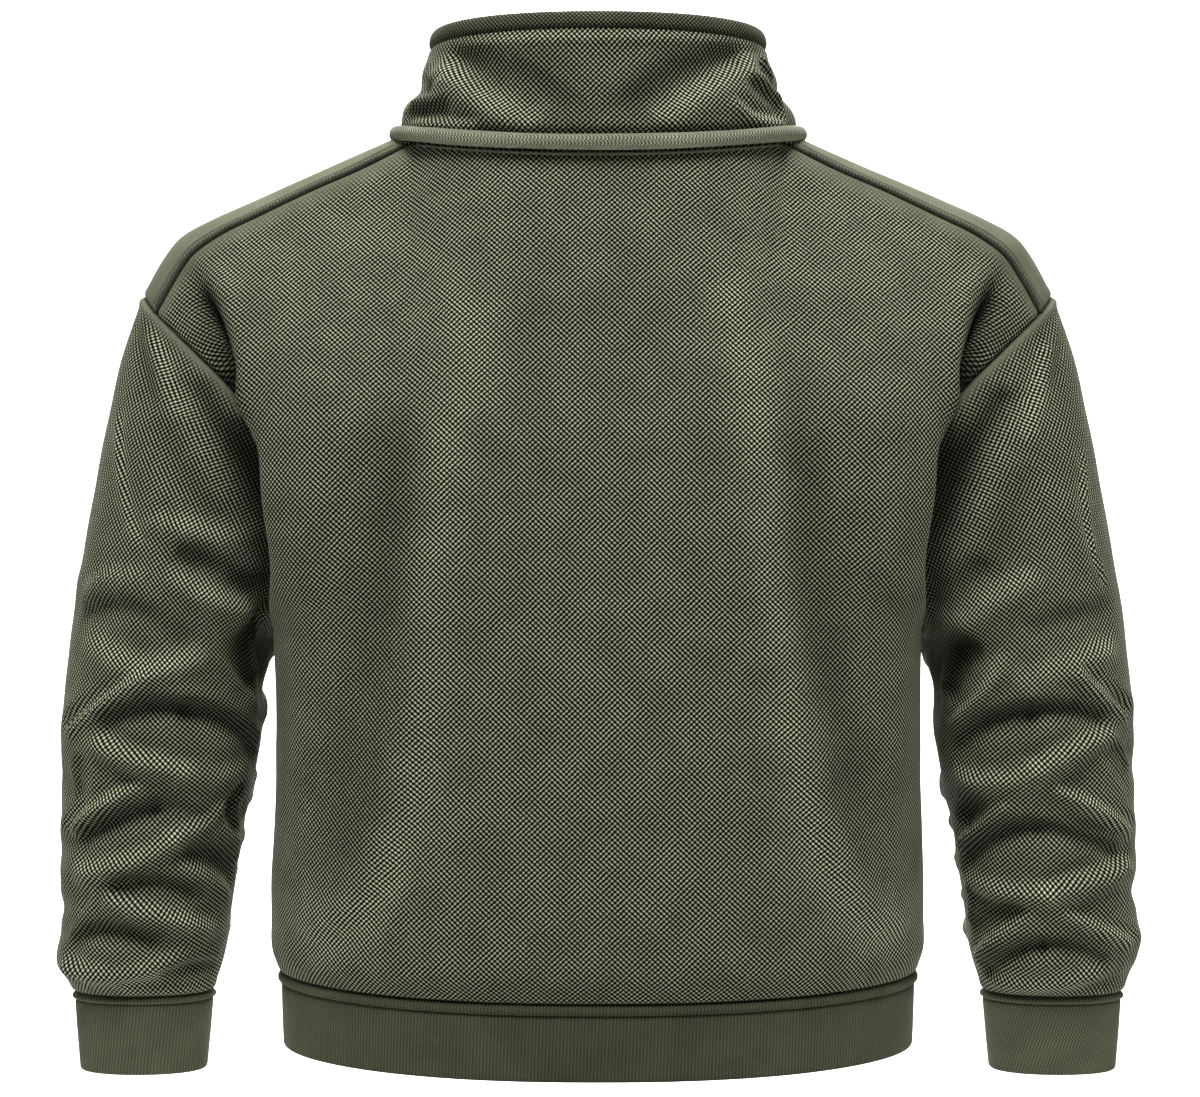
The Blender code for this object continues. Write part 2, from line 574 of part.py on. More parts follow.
def collar_angles():
    """Angles round the neck, from the centre front over the left side to the back and on."""
    front = neck_angles(-180.0, -NECK_CORNER, NECK_CELLS_FRONT)[:-1]
    back_right = neck_angles(-NECK_CORNER, 0.0, NECK_CELLS_BACK)
    back_left = neck_angles(0.0, NECK_CORNER, NECK_CELLS_BACK)[1:]
    front_left = neck_angles(NECK_CORNER, 180.0, NECK_CELLS_FRONT)[1:-1]
    return np.concatenate([front, back_right, back_left, front_left])


def collar_ring(share, angles):
    """One ring of the collar. It starts on the neck seam and comes out above the roll."""
    shares = [row[0] for row in COLLAR_ROWS]
    half_width, back, front = smooth_through(shares, [row[1:] for row in COLLAR_ROWS], [share])[0]
    at_seam = 1.0 - soft_step(share / COLLAR_SPRING)
    points = []
    for angle in angles:
        across, depth = oval(angle, half_width, back, front, COLLAR_ROUNDNESS)
        free = np.array([across, depth, collar_height(angle, share)])
        seam = neck_seam(angle)
        seam[2] = free[2]
        points.append(free + (seam - free) * at_seam)
    return np.array(points)


def collar_tube():
    """The funnel collar from the neck seam up to the seam of its edge band."""
    shares = np.linspace(0.0, 1.0, COLLAR_CELLS + 1)
    return np.array([collar_ring(share, collar_angles()) for share in shares])


def band_above(seam_ring):
    """The collar's edge band, and the outward steps of its outer face."""
    up = np.array([0.0, 0.0, 1.0])
    rings = np.array([seam_ring + distance * up for distance, _ in BAND_PROFILE])
    steps = np.array([np.full(len(seam_ring), step) for _, step in BAND_PROFILE])
    return rings, steps


# ---- Folds -------------------------------------------------------------------------------
def fold_lift(across, up, folds, scale, whole_turn=None):
    """The height of all folds at each place. Scale turns the across unit into metres."""
    lift = np.zeros(across.shape)
    share = np.linspace(0.0, 1.0, FOLD_STEPS + 1)
    for a0, u0, a1, u1, a2, u2, half_width, height in folds:
        middle_a = 2.0 * a1 - (a0 + a2) / 2.0
        middle_u = 2.0 * u1 - (u0 + u2) / 2.0
        line_a = (1 - share) ** 2 * a0 + 2 * share * (1 - share) * middle_a + share**2 * a2
        line_u = (1 - share) ** 2 * u0 + 2 * share * (1 - share) * middle_u + share**2 * u2
        nearest = np.full(across.shape, np.inf)
        place = np.zeros(across.shape)
        for step in range(FOLD_STEPS):
            away = across - line_a[step]
            if whole_turn:
                away = (away + whole_turn / 2) % whole_turn - whole_turn / 2
            away = away * scale[0]
            rise = (up - line_u[step]) * scale[1]
            run_a = (line_a[step + 1] - line_a[step]) * scale[0]
            run_u = (line_u[step + 1] - line_u[step]) * scale[1]
            t = np.clip((away * run_a + rise * run_u) / (run_a**2 + run_u**2), 0.0, 1.0)
            distance = np.hypot(away - t * run_a, rise - t * run_u)
            closer = distance < nearest
            nearest = np.where(closer, distance, nearest)
            place = np.where(closer, (step + t) / FOLD_STEPS, place)
        ends = soft_step(place / 0.3) * soft_step((1.0 - place) / 0.3)
        lift += height * (0.25 + 0.75 * ends) * np.exp(-((nearest / half_width) ** 2))
    return lift


def fade_from_edges(points, closed, edges):
    """1 inside a grid, falling to 0 at its named edges: bottom, top, sides."""
    fade = np.ones(points.shape[:2])
    up = np.cumsum(np.linalg.norm(np.diff(points, axis=0), axis=2), axis=0)
    up = np.vstack([np.zeros(points.shape[1]), up])
    if "bottom" in edges:
        fade *= soft_step(up / SEAM_FADE)
    if "top" in edges:
        fade *= soft_step((up[-1] - up) / SEAM_FADE)
    if "sides" in edges and not closed:
        along = np.cumsum(np.linalg.norm(np.diff(points, axis=1), axis=2), axis=1)
        along = np.hstack([np.zeros((len(points), 1)), along])
        fade *= soft_step(along / SEAM_FADE) * soft_step((along[:, -1:] - along) / SEAM_FADE)
    return fade


def mirrored_folds(folds):
    """The folds of a panel on both of its halves."""
    other = [(-a, b, -c, d, -e, f, width, lift) for a, b, c, d, e, f, width, lift in folds]
    return list(folds) + other


# ---- From grids to solids ------------------------------------------------------------------
def grid_normals(points, closed):
    """The outward direction at each point of a grid."""
    up = np.gradient(points, axis=0)
    if closed:
        across = np.roll(points, -1, axis=1) - np.roll(points, 1, axis=1)
    else:
        across = np.gradient(points, axis=1)
    normals = np.cross(up, across)
    return normals / np.linalg.norm(normals, axis=2, keepdims=True)


class Piece:
    """One cloth piece: the grid of its outer face and how its wall is made."""

    def __init__(self, name, points, closed, wall, colour, lift=None, steps=None):
        self.name = name
        self.closed = closed
        self.wall = wall
        self.colour = colour
        normals = grid_normals(points, closed)
        self.plain = points if lift is None else points + normals * lift[:, :, None]
        self.normals = grid_normals(self.plain, closed)
        self.steps = np.zeros(points.shape[:2]) if steps is None else steps

    def edge_places(self):
        """Row and column of each point on the edge of the grid."""
        rows, columns = self.plain.shape[:2]
        places = {(row, column) for row in (0, rows - 1) for column in range(columns)}
        if not self.closed:
            places |= {(row, column) for row in range(rows) for column in (0, columns - 1)}
        return places

    def draw_back(self, row, column):
        """How far a point on the edge moves into the piece to leave the seam gap."""
        rows, columns = self.plain.shape[:2]
        move = np.zeros(3)
        here = self.plain[row, column]
        normal = self.normals[row, column]
        if row in (0, rows - 1):
            left = (column - 1) % columns if self.closed else max(column - 1, 0)
            right = (column + 1) % columns if self.closed else min(column + 1, columns - 1)
            along = self.plain[row, right] - self.plain[row, left]
            inside = self.plain[1 if row == 0 else rows - 2, column] - here
            move += into(normal, along, inside)
        if not self.closed and column in (0, columns - 1):
            along = self.plain[min(row + 1, rows - 1), column] - self.plain[max(row - 1, 0), column]
            inside = self.plain[row, 1 if column == 0 else columns - 2] - here
            move += into(normal, along, inside)
        return move * SEAM_GAP / 2

    def faces_points(self):
        """The outer and the inner points, drawn back along the edge."""
        outer = self.plain + self.normals * self.steps[:, :, None]
        inner = self.plain - self.normals * self.wall
        for row, column in self.edge_places():
            move = self.draw_back(row, column)
            outer[row, column] += move
            inner[row, column] += move
        return outer, inner


def into(normal, along, inside):
    """The direction across a seam, in the cloth, towards the inside of the piece."""
    direction = np.cross(normal, along)
    direction = direction / np.linalg.norm(direction)
    return direction if np.dot(direction, inside) > 0 else -direction


def share_seam_normals(pieces):
    """Give pieces that meet at a seam the same direction there, so that their ends match."""
    totals = {}
    for piece in pieces:
        for place in piece.edge_places():
            key = tuple(np.round(piece.plain[place], 6))
            totals[key] = totals.get(key, np.zeros(3)) + piece.normals[place]
    for piece in pieces:
        for place in piece.edge_places():
            total = totals[tuple(np.round(piece.plain[place], 6))]
            piece.normals[place] = total / np.linalg.norm(total)


def rim_faces(outer_a, outer_b, inner_a, inner_b, points):
    """The end face between two neighbours on an edge, split the same way for both pieces."""
    if points[outer_a][2] + points[outer_a][0] > points[outer_b][2] + points[outer_b][0]:
        return [(outer_a, outer_b, inner_a), (outer_b, inner_b, inner_a)]
    return [(outer_b, inner_b, outer_a), (outer_a, inner_b, inner_a)]


def wall_faces(rows, columns, closed, points):
    """Faces of the outer side, the inner side and the ends of a wall."""
    count = rows * columns

    def at(row, column):
        return row * columns + column % columns

    faces = []
    across = columns if closed else columns - 1
    for row in range(rows - 1):
        for column in range(across):
            corners = (at(row, column), at(row, column + 1), at(row + 1, column + 1), at(row + 1, column))
            faces.append(corners[::-1])
            faces.append(tuple(corner + count for corner in corners))
    edges = [(at(row, column), at(row, column + 1)) for row in (0, rows - 1) for column in range(across)]
    if not closed:
        edges += [(at(row, column), at(row + 1, column)) for row in range(rows - 1)
                  for column in (0, columns - 1)]
    for first, second in edges:
        faces += rim_faces(first, second, first + count, second + count, points)
    return faces


def cloth_material(name, colour):
    """A matt cloth material in one colour."""
    material = bpy.data.materials.new(name)
    material.use_nodes = True
    shader = material.node_tree.nodes["Principled BSDF"]
    shader.inputs["Base Color"].default_value = colour[:3] + (1.0,)
    shader.inputs["Roughness"].default_value = colour[3]
    shader.inputs["Metallic"].default_value = 0.0
    material.diffuse_color = colour[:3] + (1.0,)
    return material


def add_solid(name, points, faces, colour):
    """A closed body from its points and faces, facing out, with its own material."""
    work = bmesh.new()
    vertices = [work.verts.new(point) for point in points]
    for face in faces:
        work.faces.new([vertices[index] for index in face])
    bmesh.ops.recalc_face_normals(work, faces=work.faces)
    bmesh.ops.triangulate(work, faces=work.faces)
    mesh = bpy.data.meshes.new(name)
    work.to_mesh(mesh)
    work.free()
    mesh.materials.append(cloth_material(name + "_cloth", colour))
    mesh.shade_smooth()
    mesh.set_sharp_from_angle(angle=math.radians(60.0))
    body = bpy.data.objects.new(name, mesh)
    bpy.context.collection.objects.link(body)
    return body


def build_piece(piece):
    """The solid of one cloth piece."""
    outer, inner = piece.faces_points()
    rows, columns = outer.shape[:2]
    points = np.concatenate([outer.reshape(-1, 3), inner.reshape(-1, 3)])
    faces = wall_faces(rows, columns, piece.closed, points)
    return add_solid(piece.name, points, faces, piece.colour)


def build_neck_roll():
    """The padded roll round the neck seam: a closed ring with an oval section."""
    angles = collar_angles()
    points = []
    for angle in angles:
        middle = neck_middle(angle)
        out = neck_outward(angle)
        for side in range(ROLL_SIDES):
            turn = 2.0 * math.pi * side / ROLL_SIDES
            across = ROLL_HALF_WIDTH * math.cos(turn)
            rise = ROLL_HALF_HEIGHT * math.sin(turn)
            points.append(middle + out * across + np.array([0.0, 0.0, rise]))
    faces = []
    for ring in range(len(angles)):
        following = (ring + 1) % len(angles)
        for side in range(ROLL_SIDES):
            other = (side + 1) % ROLL_SIDES
            faces.append((ring * ROLL_SIDES + side, following * ROLL_SIDES + side,
                          following * ROLL_SIDES + other, ring * ROLL_SIDES + other))
    return add_solid("neck_roll", points, faces, ROLL_COLOUR)


# ---- The garment -------------------------------------------------------------------------
def add_rows(grid, extra_shares):
    """A grid with extra rows between its last two, at shares of the way between them."""
    rows = [grid[-2] + (grid[-1] - grid[-2]) * share for share in extra_shares]
    return np.concatenate([grid[:-1], rows, grid[-1:]])


def welted_front(back):
    """The front with the welt's rows, and the outward steps that raise the welt."""
    grid = front_panel(back)
    last = np.linalg.norm(grid[-1, 0] - grid[-2, 0])
    shares = [1 - (WELT_WIDTH + WELT_EDGE) / last, 1 - WELT_WIDTH / last, 1 - WELT_EDGE / last]
    grid = add_rows(grid, shares)
    steps = np.zeros(grid.shape[:2])
    shoulder = list(range(SHOULDER_CELLS)) + list(range(grid.shape[1] - SHOULDER_CELLS, grid.shape[1]))
    for row in (-3, -2):
        steps[row, shoulder[1:-1]] = WELT_LIFT
    return grid, steps


def panel_lift(grid, folds):
    """The folds of a body panel, dying away at its seams."""
    lift = fold_lift(grid[:, :, 0], grid[:, :, 2], mirrored_folds(folds), (1.0, 1.0))
    return lift * fade_from_edges(grid, False, ("bottom", "top", "sides"))


def sleeve_lift(tube, folds):
    """The folds of a sleeve, dying away at its seams."""
    angles = np.tile(sleeve_angles(), (len(tube), 1))
    reach = np.linalg.norm(tube - tube.mean(axis=1, keepdims=True), axis=2)
    radius = reach.mean(axis=1, keepdims=True)
    lift = fold_lift(angles, tube[:, :, 2], folds, (math.radians(1.0) * radius, 1.0), 360.0)
    return lift * fade_from_edges(tube, True, ("bottom", "top"))


def main():
    for item in list(bpy.data.objects):
        bpy.data.objects.remove(item, do_unlink=True)
    mirror = np.array([-1.0, 1.0, 1.0])

    back = back_panel()
    front, welt = welted_front(back)
    pieces = [
        Piece("back", back, False, BODY_WALL, BODY_COLOUR, lift=panel_lift(back, BACK_FOLDS)),
        Piece("front", front, False, BODY_WALL, BODY_COLOUR, lift=panel_lift(front, FRONT_FOLDS),
              steps=welt),
    ]

    left = sleeve_tube()
    cuff, cuff_steps = band_below(left[-1], CUFF_PROFILE, CUFF_BOTTOM_TAPER,
                                  (CUFF_SLANT, -CUFF_FORWARD, 0.0), 1.0)
    left_lift = sleeve_lift(left, LEFT_SLEEVE_FOLDS)
    right_lift = sleeve_lift(left, RIGHT_SLEEVE_FOLDS)
    for side, tube, lift, band in (("left", left, left_lift, cuff),
                                   ("right", left * mirror, right_lift, cuff * mirror)):
        order = slice(None, None, -1) if side == "right" else slice(None)
        pieces.append(Piece("sleeve_" + side, tube[::-1, order], True, BODY_WALL, BODY_COLOUR,
                            lift=lift[::-1, order]))
        pieces.append(Piece("cuff_" + side, band[:, order], True, RIB_WALL, RIB_COLOUR,
                            steps=cuff_steps))

    hem_seam = np.vstack([back[0], front[0, 1:-1]])
    hem, hem_steps = band_below(hem_seam, HEM_PROFILE, HEM_BOTTOM_TAPER, (0.0, 0.0, 0.0), 1.0)
    pieces.append(Piece("hem_band", hem, True, RIB_WALL, RIB_COLOUR, steps=hem_steps))

    collar = collar_tube()
    angles = np.tile(collar_angles(), (len(collar), 1))
    shares = np.tile(np.linspace(0.0, 1.0, len(collar))[:, None], (1, collar.shape[1]))
    lift = fold_lift(angles, shares, COLLAR_FOLDS, (math.radians(1.0) * 0.115, 0.075), 360.0)
    lift = lift * fade_from_edges(collar, True, ("bottom", "top"))
    pieces.append(Piece("collar", collar, True, BODY_WALL, COLLAR_COLOUR, lift=lift))
    band, band_steps = band_above(collar[-1])
    pieces.append(Piece("collar_band", band, True, BAND_WALL, COLLAR_COLOUR, steps=band_steps))

    share_seam_normals(pieces)
    for piece in pieces:
        build_piece(piece)
    build_neck_roll()


main()
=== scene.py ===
"""The looks of a sweatshirt with a high funnel collar, in its worn shape.

Metres, +Z up. +X is the wearer's left and +Y is the back of the garment, which the camera sees.
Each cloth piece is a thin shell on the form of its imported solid, with closer points, its own
creases, rolled seam edges and a knit that follows the cloth.
"""

import math

import bpy
import mathutils
import numpy as np
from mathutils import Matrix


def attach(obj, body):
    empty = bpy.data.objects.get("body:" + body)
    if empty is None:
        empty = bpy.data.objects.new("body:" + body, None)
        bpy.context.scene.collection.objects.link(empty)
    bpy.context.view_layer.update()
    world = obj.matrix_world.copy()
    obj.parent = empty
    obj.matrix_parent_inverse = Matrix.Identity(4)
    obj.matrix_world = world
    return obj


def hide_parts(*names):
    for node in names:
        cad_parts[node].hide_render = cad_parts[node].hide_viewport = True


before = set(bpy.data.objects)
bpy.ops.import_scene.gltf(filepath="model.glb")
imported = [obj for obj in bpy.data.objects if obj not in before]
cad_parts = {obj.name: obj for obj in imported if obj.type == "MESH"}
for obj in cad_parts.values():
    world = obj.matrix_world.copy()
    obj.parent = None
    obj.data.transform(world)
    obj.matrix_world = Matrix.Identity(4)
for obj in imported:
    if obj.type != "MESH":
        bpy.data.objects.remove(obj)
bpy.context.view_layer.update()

# ---- Cloth -------------------------------------------------------------------------------
BODY_WALL = 0.0018
SEAM_DIP = 0.0013           # how far a sewn edge turns in
SEAM_ROUND = 0.0016         # distance over which it turns in
SEAM_PUFF = 0.0005          # the cloth stands a little proud beside a seam
SEAM_PUFF_AT = 0.0045       # at this distance from it
SEAM_PUFF_WIDTH = 0.0030
ARMHOLE_PUFF = 0.0016       # the sleeve's edge stands prouder, over the body
FOLD_SHARE = 0.55           # the broad folds under the creases stand at this share of the solid's
DEPTH_PAINTED_SHADE = 0.60           # painted shade: cloth deep in a fold is darker by this share
DEPTH_WHOLE = 0.014         # from this depth on
CREASE_SLOPE = 1.00         # slope of the cloth at the middle of a crease of strength 1
CREASE_ENDS = 0.14          # share of a crease's length over which it dies away at each end
CREASE_PAINTED_LIGHT = 0.42         # how much painted light and painted shade a crease puts in the cloth's colour there
CREASE_PAINTED_SHADE = 0.55
CREASE_NARROW = 0.0080      # a crease with a greater half width than this is shallower
SLEEVE_CREASE_RISE = 0.013  # the creases in front lie this much higher than those behind
COLLAR_CREASE_RISE = -0.04  # and on the collar, in shares of its height
TONE_LEAST = 0.14           # no crease's painted shade makes the cloth darker than this share of its colour
TONE_MOST = 1.60            # and all their painted light and shade together make it no lighter than this
SEAM_DARK = 0.80            # the line of a seam is darker by this share
SEAM_LINE = 0.0009          # half width of that line
RELAX_STEP = 2              # the flat places are worked out at every second point
RELAX_ROUNDS = 900
RELAX_PULL = 0.24           # share of each wrong distance that one round puts right
SHARP_ANGLE = 70.0          # degrees between two faces from which their edge stays sharp
FINE_POINTS = 121           # points of a curve before it is cut into equal cells
ROW_POINTS = 181            # and of a half row of the body
MIRROR = np.array([-1.0, 1.0, 1.0])
# distances from a seam at which a piece gets a row or a column of points
SEAM_STATIONS = (0.0, 0.0005, 0.0010, 0.0016, 0.0023, 0.0032, 0.0045)
STATION_BLEND = 8           # old rows beside a seam that are spread anew behind the close ones
# the same along the shoulder seam of the front, where the topstitched welt lies
WELT_STATIONS = (0.0, 0.0004, 0.0009, 0.0015, 0.0023, 0.0035, 0.0048, 0.0057, 0.0063,
                 0.0069, 0.0075, 0.0084, 0.0100)

# ---- Number of cells in each stretch of a piece ------------------------------------------
NECK_CELLS_BACK = 34
NECK_CELLS_FRONT = 48
SHOULDER_CELLS = 38
SIDE_CELLS = 72
ARMHOLE_CELLS_BACK = 48
ARMHOLE_CELLS_FRONT = 66
SLEEVE_CELLS = 210
COLLAR_CELLS = 40

# ---- Torso -------------------------------------------------------------------------------
# Level rows up the side seam, from the hem seam to the underarm.
# height at the side, half width, depth at the centre back, depth at the centre front,
# drop of the row towards the centre back, roundness (2 is an ellipse)
SIDE_ROWS = (
    (-0.606, 0.2315, 0.1245, 0.1200, 0.006, 2.20),
    (-0.592, 0.2375, 0.1340, 0.1290, 0.006, 2.25),
    (-0.565, 0.2385, 0.1385, 0.1350, 0.005, 2.30),
    (-0.500, 0.2355, 0.1410, 0.1390, 0.003, 2.45),
    (-0.430, 0.2335, 0.1410, 0.1420, 0.001, 2.65),
    (-0.355, 0.2345, 0.1395, 0.1450, 0.000, 2.90),
)
# Rows that end on the armhole, behind and in front. There the cloth stands out in a fold
# and turns back inward to the armhole seam.
# angle round the armhole, height at the centre, depth at the centre, roundness,
# half width of the standing fold
BACK_ROWS = (
    (130.0, -0.302, 0.1370, 2.90, 0.2365),
    (102.0, -0.248, 0.1330, 2.90, 0.2445),
    (76.0, -0.192, 0.1270, 2.80, 0.2560),
)
FRONT_ROWS = (
    (130.0, -0.302, 0.1470, 2.90, 0.2340),
    (102.0, -0.250, 0.1470, 2.90, 0.2370),
    (76.0, -0.200, 0.1420, 2.80, 0.2450),
)
FOLD_TURN = 70.0            # degrees of the quarter row where the standing fold turns back
ROW_RISE_POWER = 2.5        # high, so that a row goes up or down only near its edge
EDGE_HOLD_POWER = 6         # and the pull towards the armhole acts only near the edge
SIDE_MARK_POWER = 1.5       # the rows of the side lie closer near the hem

# ---- Armhole: a tilted loop, drawn in towards the chest behind and in front ----------------
# The angle runs from 0 at the shoulder tip to 180 at the underarm, behind or in front.
ARMHOLE_CENTRE_WIDTH = 0.2845
ARMHOLE_CENTRE_HEIGHT = -0.234
ARMHOLE_LEAN = 0.0485       # sideways reach of its long axis
ARMHOLE_RISE = 0.1215       # upward reach of its long axis
ARMHOLE_DEPTH = 0.062
ARMHOLE_DRAW = 0.056
ARMHOLE_DRAW_POWER = 3      # drawn in late, so the fold beside the arm is narrow
ARMHOLE_STEP = 0.00172      # length of seam for each degree
SEAM_ANGLE = 30.0           # where the shoulder seam meets the armhole, behind the shoulder

# ---- Shoulders, between the neck and the armhole: half width, depth, height ---------------
SHOULDER_SEAM = (
    (0.1674, 0.0360, -0.0222),
    (0.2042, 0.0365, -0.0385),
    (0.2410, 0.0365, -0.0560),
    (0.2775, 0.0360, -0.0745),
    (0.2930, 0.0350, -0.0860),
    (0.3050, 0.0335, -0.1030),
)
SHOULDER_RIDGE = (
    (0.1830, 0.0020, -0.0165),
    (0.2180, 0.0020, -0.0306),
    (0.2530, 0.0020, -0.0448),
    (0.2850, 0.0020, -0.0585),
    (0.3080, 0.0020, -0.0715),
    (0.3190, 0.0015, -0.0855),
    (0.3270, 0.0010, -0.0995),
)

# ---- Neck ring, along the middle of the roll ----------------------------------------------
NECK_HALF_WIDTH = 0.1480
NECK_ROUNDNESS = 2.15
NECK_DROP_POWER = 1.6
NECK_DEPTH_BACK = 0.0935
NECK_DEPTH_FRONT = 0.1060
NECK_HEIGHT_SIDE = 0.0056
NECK_DROP_BACK = 0.0193
NECK_DROP_FRONT = 0.0520
NECK_CORNER = 67.5          # degrees from the centre back to the shoulder seam
ROLL_HALF_HEIGHT = 0.0056
ROLL_HALF_WIDTH = 0.0054
NECK_SEAM_INSET = 0.0075    # the seam of body and collar lies inside the middle of the roll
NECK_SEAM_DROP = 0.0006     # and below it, more at the sides, where the shoulders slope away
NECK_SEAM_DROP_SIDE = 0.0056
NECK_SEAM_DROP_POWER = 4
YOKE_SPREAD = 0.13          # how far the ridge row spreads from the neck, as a share of its size
YOKE_DROP_SIDE = 0.0078
YOKE_DROP_FRONT = 0.034
YOKE_ANGLE = 88.0           # where the ridge row leaves the neck for the shoulder

# ---- Collar ------------------------------------------------------------------------------
COLLAR_SPRING = 0.17        # share of its height over which it comes out from behind the roll
# share of the way up, half width, depth behind, depth in front
COLLAR_ROWS = (
    (0.00, 0.1452, 0.0907, 0.1032),
    (0.12, 0.1450, 0.0915, 0.1032),
    (0.30, 0.1422, 0.0918, 0.1025),
    (0.50, 0.1350, 0.0906, 0.1004),
    (0.70, 0.1290, 0.0900, 0.0975),
    (0.88, 0.1252, 0.0900, 0.0950),
    (1.00, 0.1222, 0.0898, 0.0930),
)
COLLAR_TOP_SIDE = 0.0675    # height of the seam below the edge band
COLLAR_TOP_BACK = 0.0675
COLLAR_TOP_FRONT = 0.0460
COLLAR_ROUNDNESS = 2.20
COLLAR_RADIUS = 0.115       # mean sizes that turn its angles and shares into metres
COLLAR_HEIGHT = 0.075

# ---- Hem band and cuffs -------------------------------------------------------------------
HEM_BOTTOM_TAPER = 0.9930
CUFF_BOTTOM_TAPER = 0.9100
CUFF_SLANT = 0.0010         # the cuff's lower end moves outward and forward
CUFF_FORWARD = 0.0035

# ---- Sleeves: rings down the arm ---------------------------------------------------------
# outer point: half width, height; inner point: half width, height; depth of the middle,
# half depth, how far the ring is drawn in behind and in front
SLEEVE_RINGS = (
    (0.3495, -0.158, 0.2425, -0.3640, 0.000, 0.0640, 0.030),
    (0.3640, -0.225, 0.2425, -0.3800, -0.003, 0.0670, 0.010),
    (0.3775, -0.298, 0.2460, -0.3980, -0.006, 0.0670, 0.000),
    (0.3880, -0.362, 0.2490, -0.4200, -0.008, 0.0645, 0.000),
    (0.3940, -0.418, 0.2500, -0.4420, -0.011, 0.0620, 0.000),
    (0.3960, -0.472, 0.2575, -0.4780, -0.015, 0.0585, 0.000),
    (0.3975, -0.520, 0.2660, -0.5200, -0.019, 0.0560, 0.000),
    (0.3995, -0.565, 0.2730, -0.5650, -0.024, 0.0535, 0.000),
    (0.4000, -0.602, 0.2790, -0.6020, -0.027, 0.0510, 0.000),
    (0.3895, -0.627, 0.2870, -0.6270, -0.029, 0.0360, 0.000),
)
SLEEVE_ROUNDNESS = 2.15
ELBOW_SHARE = 0.36          # share of the sleeve's length above the folded forearm
ELBOW_CELLS = 52            # cells in that share

# ---- Bands: distance from the seam, outward step of the outer face, wall --------------------
HEM_PROFILE = (
    (0.0000, -0.0010, 0.0014),
    (0.0006, 0.0006, 0.0028),
    (0.0016, 0.0022, 0.0044),
    (0.0030, 0.0029, 0.0051),
    (0.0050, 0.0029, 0.0051),
    (0.0064, 0.0018, 0.0040),
    (0.0072, 0.0003, 0.0025),
    (0.0076, -0.0006, 0.0016),
    (0.0083, 0.0000, 0.0022),
    (0.0096, 0.0005, 0.0027),
    (0.0300, 0.0006, 0.0028),
    (0.0512, 0.0004, 0.0026),
    (0.0528, -0.0002, 0.0019),
    (0.0535, -0.0010, 0.0006),
)
CUFF_PROFILE = (
    (0.0000, -0.0010, 0.0014),
    (0.0005, 0.0002, 0.0024),
    (0.0012, 0.0014, 0.0036),
    (0.0022, 0.0021, 0.0043),
    (0.0036, 0.0021, 0.0043),
    (0.0046, 0.0010, 0.0032),
    (0.0052, -0.0003, 0.0019),
    (0.0055, -0.0007, 0.0015),
    (0.0063, 0.0000, 0.0022),
    (0.0078, 0.0005, 0.0027),
    (0.0300, 0.0006, 0.0028),
    (0.0562, 0.0004, 0.0026),
    (0.0578, -0.0002, 0.0019),
    (0.0585, -0.0010, 0.0006),
)
EDGE_PROFILE = (
    (0.0000, -0.0012, 0.0016),
    (0.0005, -0.0002, 0.0026),
    (0.0013, 0.0011, 0.0040),
    (0.0028, 0.0017, 0.0046),
    (0.0052, 0.0017, 0.0046),
    (0.0076, 0.0011, 0.0040),
    (0.0095, 0.0002, 0.0030),
    (0.0108, -0.0009, 0.0016),
    (0.0115, -0.0019, 0.0005),
)
BAND_CELL = 0.0035          # longest cell up a band
# Welt on the front along the shoulder seam: distance from the seam, outward step, tone. The
# tone is dark on the seam line, lighter along the welt's outer edge, and painted shade in the groove
# beyond it.
WELT_PROFILE = (
    (0.0000, -0.0017, 0.10),
    (0.0007, -0.0014, 0.12),
    (0.0013, 0.0000, 0.35),
    (0.0020, 0.0010, 0.72),
    (0.0036, 0.0014, 0.85),
    (0.0048, 0.0012, 0.95),
    (0.0056, 0.0007, 1.20),
    (0.0062, -0.0002, 1.00),
    (0.0067, -0.0006, 0.50),
    (0.0074, 0.0003, 0.92),
    (0.0084, 0.0006, 1.00),
    (0.0110, 0.0000, 1.00),
)

# Beside a seam the knit lies smooth and shows no dots: wholly up to the first distance from
# the seam, and then less and less over the second
BACK_SMOOTH = (0.002, 0.012)
SLEEVE_SMOOTH = (0.002, 0.008)
STRIP_SMOOTH = (0.045, 0.030)

# How light the rib bands are, as a share of their knit's colour; this is painted light and shade
CUFF_PAINTED_LIGHT = 1.45
HEM_PAINTED_SHADE_MIDDLE = 0.82
HEM_PAINTED_LIGHT_SIDE = 1.12

# ---- Trims -------------------------------------------------------------------------------
ROLL_OPEN = 165.0           # the roll's cloth reaches this far round, above and below
ROLL_CELLS = 22
ROLL_UNEVEN = 0.03          # its thickness varies by this share
ROLL_WAVES = 7.0            # in this many waves round the neck
ROLL_WAVE_SLANT = 2.0
ROLL_WALL = 0.0014
ROLL_TONE = 1.28
ROLL_PAINTED_LIGHT_UNDER = 1.10      # painted light added to it below, on the underside
PIPING_REACH = 62.0         # degrees to each side of the centre back
PIPING_CELLS = 90
PIPING_DROP = 0.0078        # below the middle of the roll
PIPING_INSET = 0.0042       # and inside it
PIPING_RADIUS = 0.0011
PIPING_SIDES = 10
PIPING_POINT = 0.15         # how far its ends stop short of a point, in radians
PIPING_TAPER_POWER = 0.25   # low, so that it is thin only close to its ends
STITCH_NEAR = 0.0016        # distances of a stitch's ends from the shoulder seam
STITCH_FAR = 0.0050
STITCH_SLANT = 0.0026       # how far its far end lies along the seam from its near end
STITCH_PITCH = 0.0026
STITCH_START = 0.0040       # no stitch lies this close to the ends of the welt
STITCH_RADIUS = 0.00050
STITCH_RISE = 0.0012        # height of its middle above its ends
STITCH_SUNK = 0.0001        # depth of its ends in the cloth
STITCH_RINGS = 7
STITCH_SIDES = 6
STITCH_THIN = 0.45          # thickness of its ends as a share of its middle
STITCH_FREE_ARMHOLE = 3     # columns of the panel without stitches, at the armhole
STITCH_FREE_NECK = 2        # and at the neck

